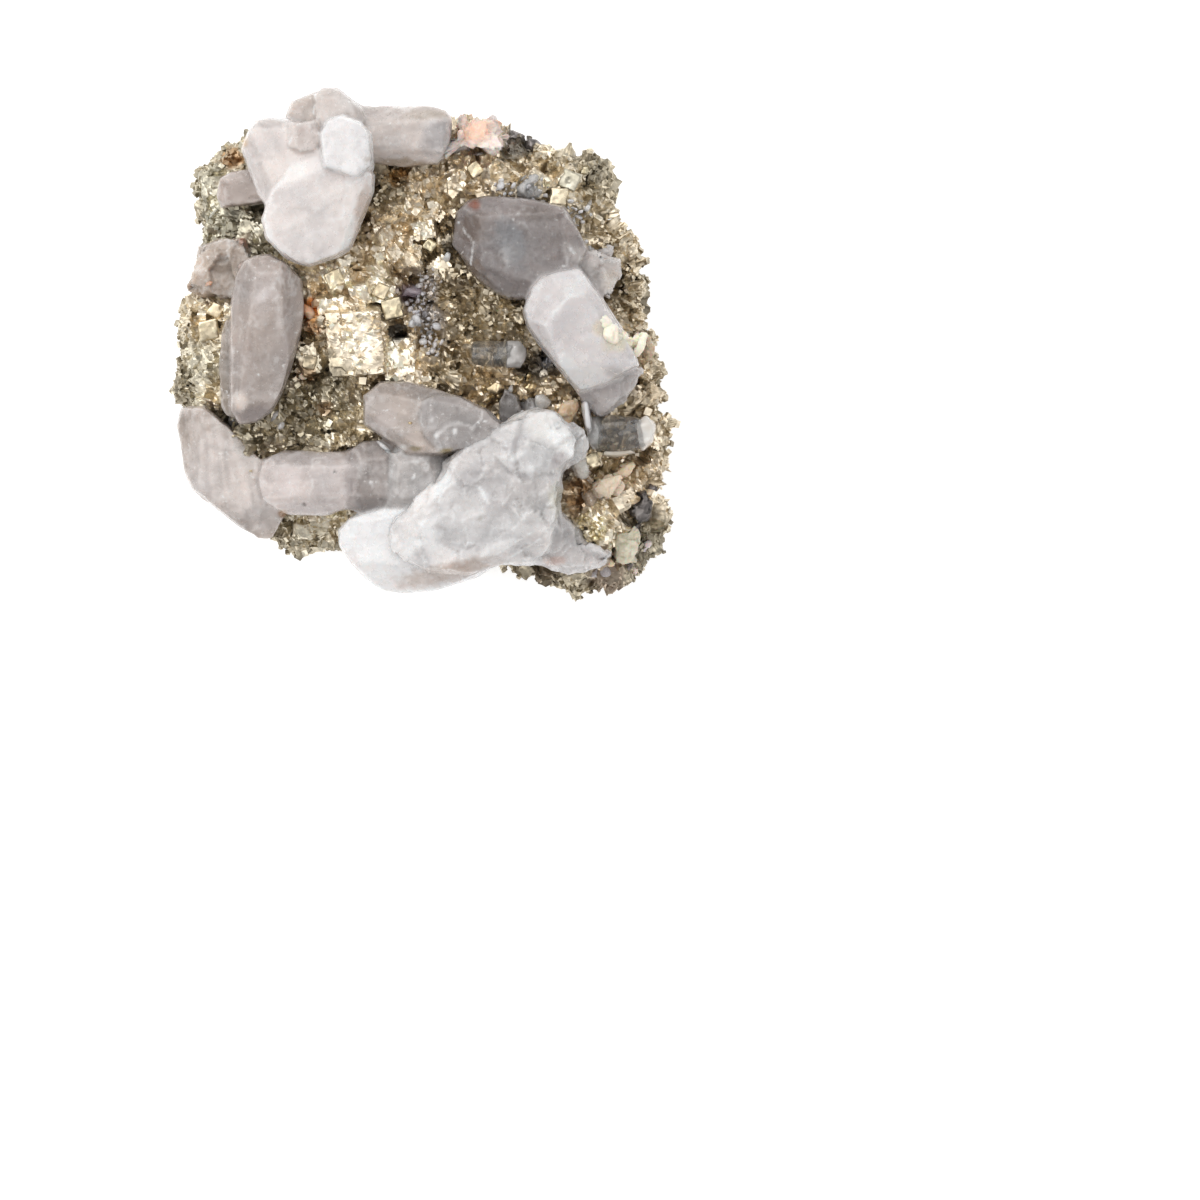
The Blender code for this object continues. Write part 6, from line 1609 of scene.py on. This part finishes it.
def quartzMaterial(name, roughness, subsurface, clouding, clear):
    material, tree, shader = newMaterial(
        name, Metallic=0.0, IOR=1.544, Subsurface_Weight=subsurface, Subsurface_Scale=0.0022,
        Subsurface_Radius=(1.0, 0.9, 0.85), Transmission_Weight=clear)
    veils = ranged(tree, cloudMask(tree, Scale=420.0, From=0.5, To=0.72, Warp=0.6), 0.0, clouding)
    colour = mixColour(tree, veils, toneOf(tree), linearColour(244, 241, 240))
    # Painted glints: tiny white specks on the surface
    glintSpecks = ranged(tree, cloudMask(tree, Scale=1500.0, From=0.63, To=0.69), 0.0, 0.6)
    colour = mixColour(tree, glintSpecks, colour, linearColour(250, 249, 248))
    tree.links.new(colour, shader.inputs["Base Color"])
    wear = cloudMask(tree, Scale=700.0, From=0.35, To=0.7)
    tree.links.new(ranged(tree, wear, *roughness), shader.inputs["Roughness"])
    grain = addNode(tree, "ShaderNodeTexNoise", {"Scale": 1700.0, "Detail": 6.0, "Roughness": 0.62})
    wire(tree, (addNode(tree, "ShaderNodeTexCoord"), "Object", grain, "Vector"))
    addBump(tree, shader, grain.outputs["Fac"], 0.35, 0.00012)
    return material


def clearQuartzMaterial():
    material, tree, shader = newMaterial(
        "clearQuartz", Metallic=0.0, Roughness=0.06, IOR=1.544, Transmission_Weight=0.93)
    veils = cloudMask(tree, Scale=500.0, From=0.45, To=0.7)
    colour = mixColour(tree, veils, (0.88, 0.88, 0.87), (0.98, 0.98, 0.98))
    tree.links.new(colour, shader.inputs["Base Color"])
    absorb = addNode(tree, "ShaderNodeVolumeAbsorption", {"Density": 240.0, "Color": (0.70, 0.69, 0.68, 1.0)})
    wire(tree, (absorb, "Volume", tree.nodes["Material Output"], "Volume"))
    return material


def carbonateMaterial():
    material, tree, shader = newMaterial(
        "carbonate", Metallic=0.0, Roughness=0.6, Subsurface_Weight=0.3, Subsurface_Scale=0.001)
    grain = cloudMask(tree, Scale=1500.0, From=0.3, To=0.7)
    colour = mixColour(tree, ranged(tree, grain, 0.0, 0.45), toneOf(tree), linearColour(250, 240, 226))
    tree.links.new(colour, shader.inputs["Base Color"])
    addBump(tree, shader, grain, 0.6, 0.0002)
    return material


print("materials")
# Metals: metallic, roughness, scale and tilt of the facets, their lightness, cloudy dullness.
pyriteMetal = metalMaterial("pyriteMetal", 1.0, 0.3, 2000.0, 0.24, (0.76, 1.16), (0.34, 0.52))
leadOre = metalMaterial("leadOre", 0.85, 0.4, 1600.0, 0.4, (0.6, 1.5))
# Quartz: roughness, scattering under the surface, veils, transmission.
milkyQuartz = quartzMaterial("milkyQuartz", (0.2, 0.4), 0.8, 0.35, 0.2)
smokyQuartz = quartzMaterial("smokyQuartz", (0.18, 0.36), 0.8, 0.2, 0.35)
frostedQuartz = quartzMaterial("frostedQuartz", (0.1, 0.25), 0.4, 0.3, 0.25)
clearQuartz = clearQuartzMaterial()
carbonate = carbonateMaterial()

print("rock")
bigCubes = namedCubes()
upper, upperPoints, upperNormals = upperRock(bigCubes)
makePiece("pyrite_upper", [upper], pyriteMetal, ["pyrite_mass"], smooth=False)
lower, lowerPoints, lowerNormals = lowerRock(bigCubes)
makePiece("pyrite_flank", [lower], pyriteMetal, ["pyrite_mass"], smooth=False)

print("grains")
upperOpen = ~underCrystal(upperPoints[:, 0], upperPoints[:, 1])
makePiece("pyrite_grains_upper", [looseGrains(upperPoints, upperNormals, upperOpen, *looseGrain["upper"])],
          pyriteMetal, smooth=False)
flankOpen = (lowerPoints[:, 2] > 0.8) & (lowerPoints[:, 2] < 19.0)
makePiece("pyrite_grains_flank", [looseGrains(lowerPoints, lowerNormals, flankOpen, *looseGrain["flank"])],
          pyriteMetal, smooth=False)

print("quartz")
# name, crystals, how softly they meet, material, slot, node
clusters = [
    ("quartz_upper_left", upperLeftQuartz, 0.3, milkyQuartz, "quartz_white", "quartz_cluster_upper_left"),
    ("quartz_left", leftQuartz, 0.3, milkyQuartz, "quartz_white", "quartz_prism_left"),
    ("quartz_lower", lowerQuartz, 0.35, milkyQuartz, "quartz_white", "quartz_cluster_lower"),
    ("quartz_white_mass", whiteQuartz, 0.7, milkyQuartz, "quartz_white", "quartz_cluster_lower"),
    ("quartz_right", rightQuartz, 0.3, smokyQuartz, "quartz_smoky", "quartz_cluster_right"),
    ("quartz_small_clear", smallClearQuartz, 0.3, clearQuartz, "quartz_clear", "quartz_prism_small"),
    ("quartz_edge_clear", edgeClearQuartz, 0.3, clearQuartz, "quartz_clear", "quartz_prism_edge"),
    ("quartz_small_frosted", frostedSmall, 0.2, frostedQuartz, "quartz_clear", "quartz_prism_small"),
    ("quartz_edge_frosted", frostedEdge, 0.2, frostedQuartz, "quartz_clear", "quartz_prism_edge"),
]
salt, saltStep = 1000, 20
for name, forms, blend, material, slotName, node in clusters:
    salt += saltStep
    makePiece(name, [grownCluster(forms, salt, blend)], material, [node])

lumpNet = (0.6, 0.2)               # blend and cell
lumpPieces = [
    ("pink_carbonate", "pinkCarbonate", carbonate, "carbonate_pink", "pink_carbonate_patch"),
    ("cream_carbonate_a", "creamCarbonateRight", carbonate, "carbonate_cream", "cream_carbonate_right"),
    ("cream_carbonate_b", "creamCarbonateLower", carbonate, "carbonate_cream", "cream_carbonate_lower"),
    ("green_carbonate", "greenCarbonateCorner", carbonate, "carbonate_cream", "green_carbonate_corner"),
    ("lead_ore", "leadOre", leadOre, "lead_ore", "lead_ore_grain"),
]
for name, key, material, slotName, node in lumpPieces:
    salt += saltStep
    makePiece(name, [grownCluster({key: lumps[key]}, salt, *lumpNet)], material, [node])

print("small things")
smallPieces = [
    ("quartz_bits", "quartz", milkyQuartz, "quartz_white"),
    ("carbonate_bits", "carbonate", carbonate, "carbonate_cream"),
    ("ore_bits", "ore", leadOre, "lead_ore"),
    ("pyrite_bits", "pyrite", pyriteMetal, "pyrite"),
    ("pyrite_cubes", "cubes", pyriteMetal, "pyrite"),
]
for name, kind, material, slotName in smallPieces:
    salt += saltStep
    shapes = [grownCluster({kind: form}, salt + number, scatter["blend"], scatter["cell"], rootShaded=False)
              for number, form in enumerate(scatteredForms(kind, upperPoints))]
    makePiece(name, shapes, material)


# Table, light and camera

view = {
    "mmPerPixel": 0.14,
    "pixels": 1200,
    "middlePixel": (421, 341),     # where the specimen's middle lies in the picture
    "lens": 400.0,
    "sensor": 36.0,
    "sharpHeight": 20.0,           # the height at which the scale holds
}

# In metres; the softboxes: name, place, two sides, power.
studio = {
    "tableHalf": 3.0,
    "tableLook": {"Base_Color": (0.8, 0.8, 0.8, 1.0), "Roughness": 0.9, "Emission_Strength": 0.62},
    "softboxes": [("keySoftbox", (-1.1, 1.1, 2.5), (4.4, 4.4), 110.0),
                  ("sideSoftbox", (1.9, -0.9, 1.5), (1.2, 1.6), 8.0)],
    "aim": (0.0, 0.0, 0.02),
    "world": 0.46,
}


def addObject(name, data):
    thing = bpy.data.objects.new(name, data)
    bpy.context.scene.collection.objects.link(thing)
    return thing


def addTable():
    mesh = bpy.data.meshes.new("table")
    half = studio["tableHalf"]
    corners = [(-half, -half, 0), (half, -half, 0), (half, half, 0), (-half, half, 0)]
    mesh.from_pydata(corners, [], [(0, 1, 2, 3)])
    white = (1.0, 1.0, 1.0, 1.0)
    mesh.materials.append(newMaterial("paleTable", **studio["tableLook"], Emission_Color=white)[0])
    table = addObject("table", mesh)


def addSoftbox(name, place, size, power):
    light = bpy.data.lights.new(name, "AREA")
    light.shape = "RECTANGLE"
    light.size, light.size_y = size
    light.energy = power
    lamp = addObject(name, light)
    lamp.location = place
    away = np.array(place) - np.array(studio["aim"])
    yaw = math.atan2(away[0], -away[1])
    lamp.rotation_euler = (math.atan2(math.hypot(away[0], away[1]), away[2]), 0.0, yaw)


def addWorld(brightness):
    world = bpy.data.worlds.new("studio")
    bpy.context.scene.world = world
    world.use_nodes = True
    background = world.node_tree.nodes["Background"]
    background.inputs["Color"].default_value = (1.0, 1.0, 1.0, 1.0)
    background.inputs["Strength"].default_value = brightness


def addCamera():
    width = view["mmPerPixel"] * view["pixels"]
    middle = view["pixels"] / 2
    x = (middle - view["middlePixel"][0]) * view["mmPerPixel"]
    y = (view["middlePixel"][1] - middle) * view["mmPerPixel"]
    data = bpy.data.cameras.new("camera")
    data.lens = view["lens"]
    data.sensor_width = view["sensor"]
    data.clip_end = 100.0
    camera = addObject("camera", data)
    camera.location = (x * mm, y * mm, (width * view["lens"] / view["sensor"] + view["sharpHeight"]) * mm)
    bpy.context.scene.camera = camera


print("studio")
addTable()
for softbox in studio["softboxes"]:
    addSoftbox(*softbox)
addWorld(studio["world"])
addCamera()
bpy.context.scene.view_settings.view_transform = "Standard"

for name, count in surfacesMade:
    print(name, count)
print("triangles in all", sum(count for name, count in surfacesMade))
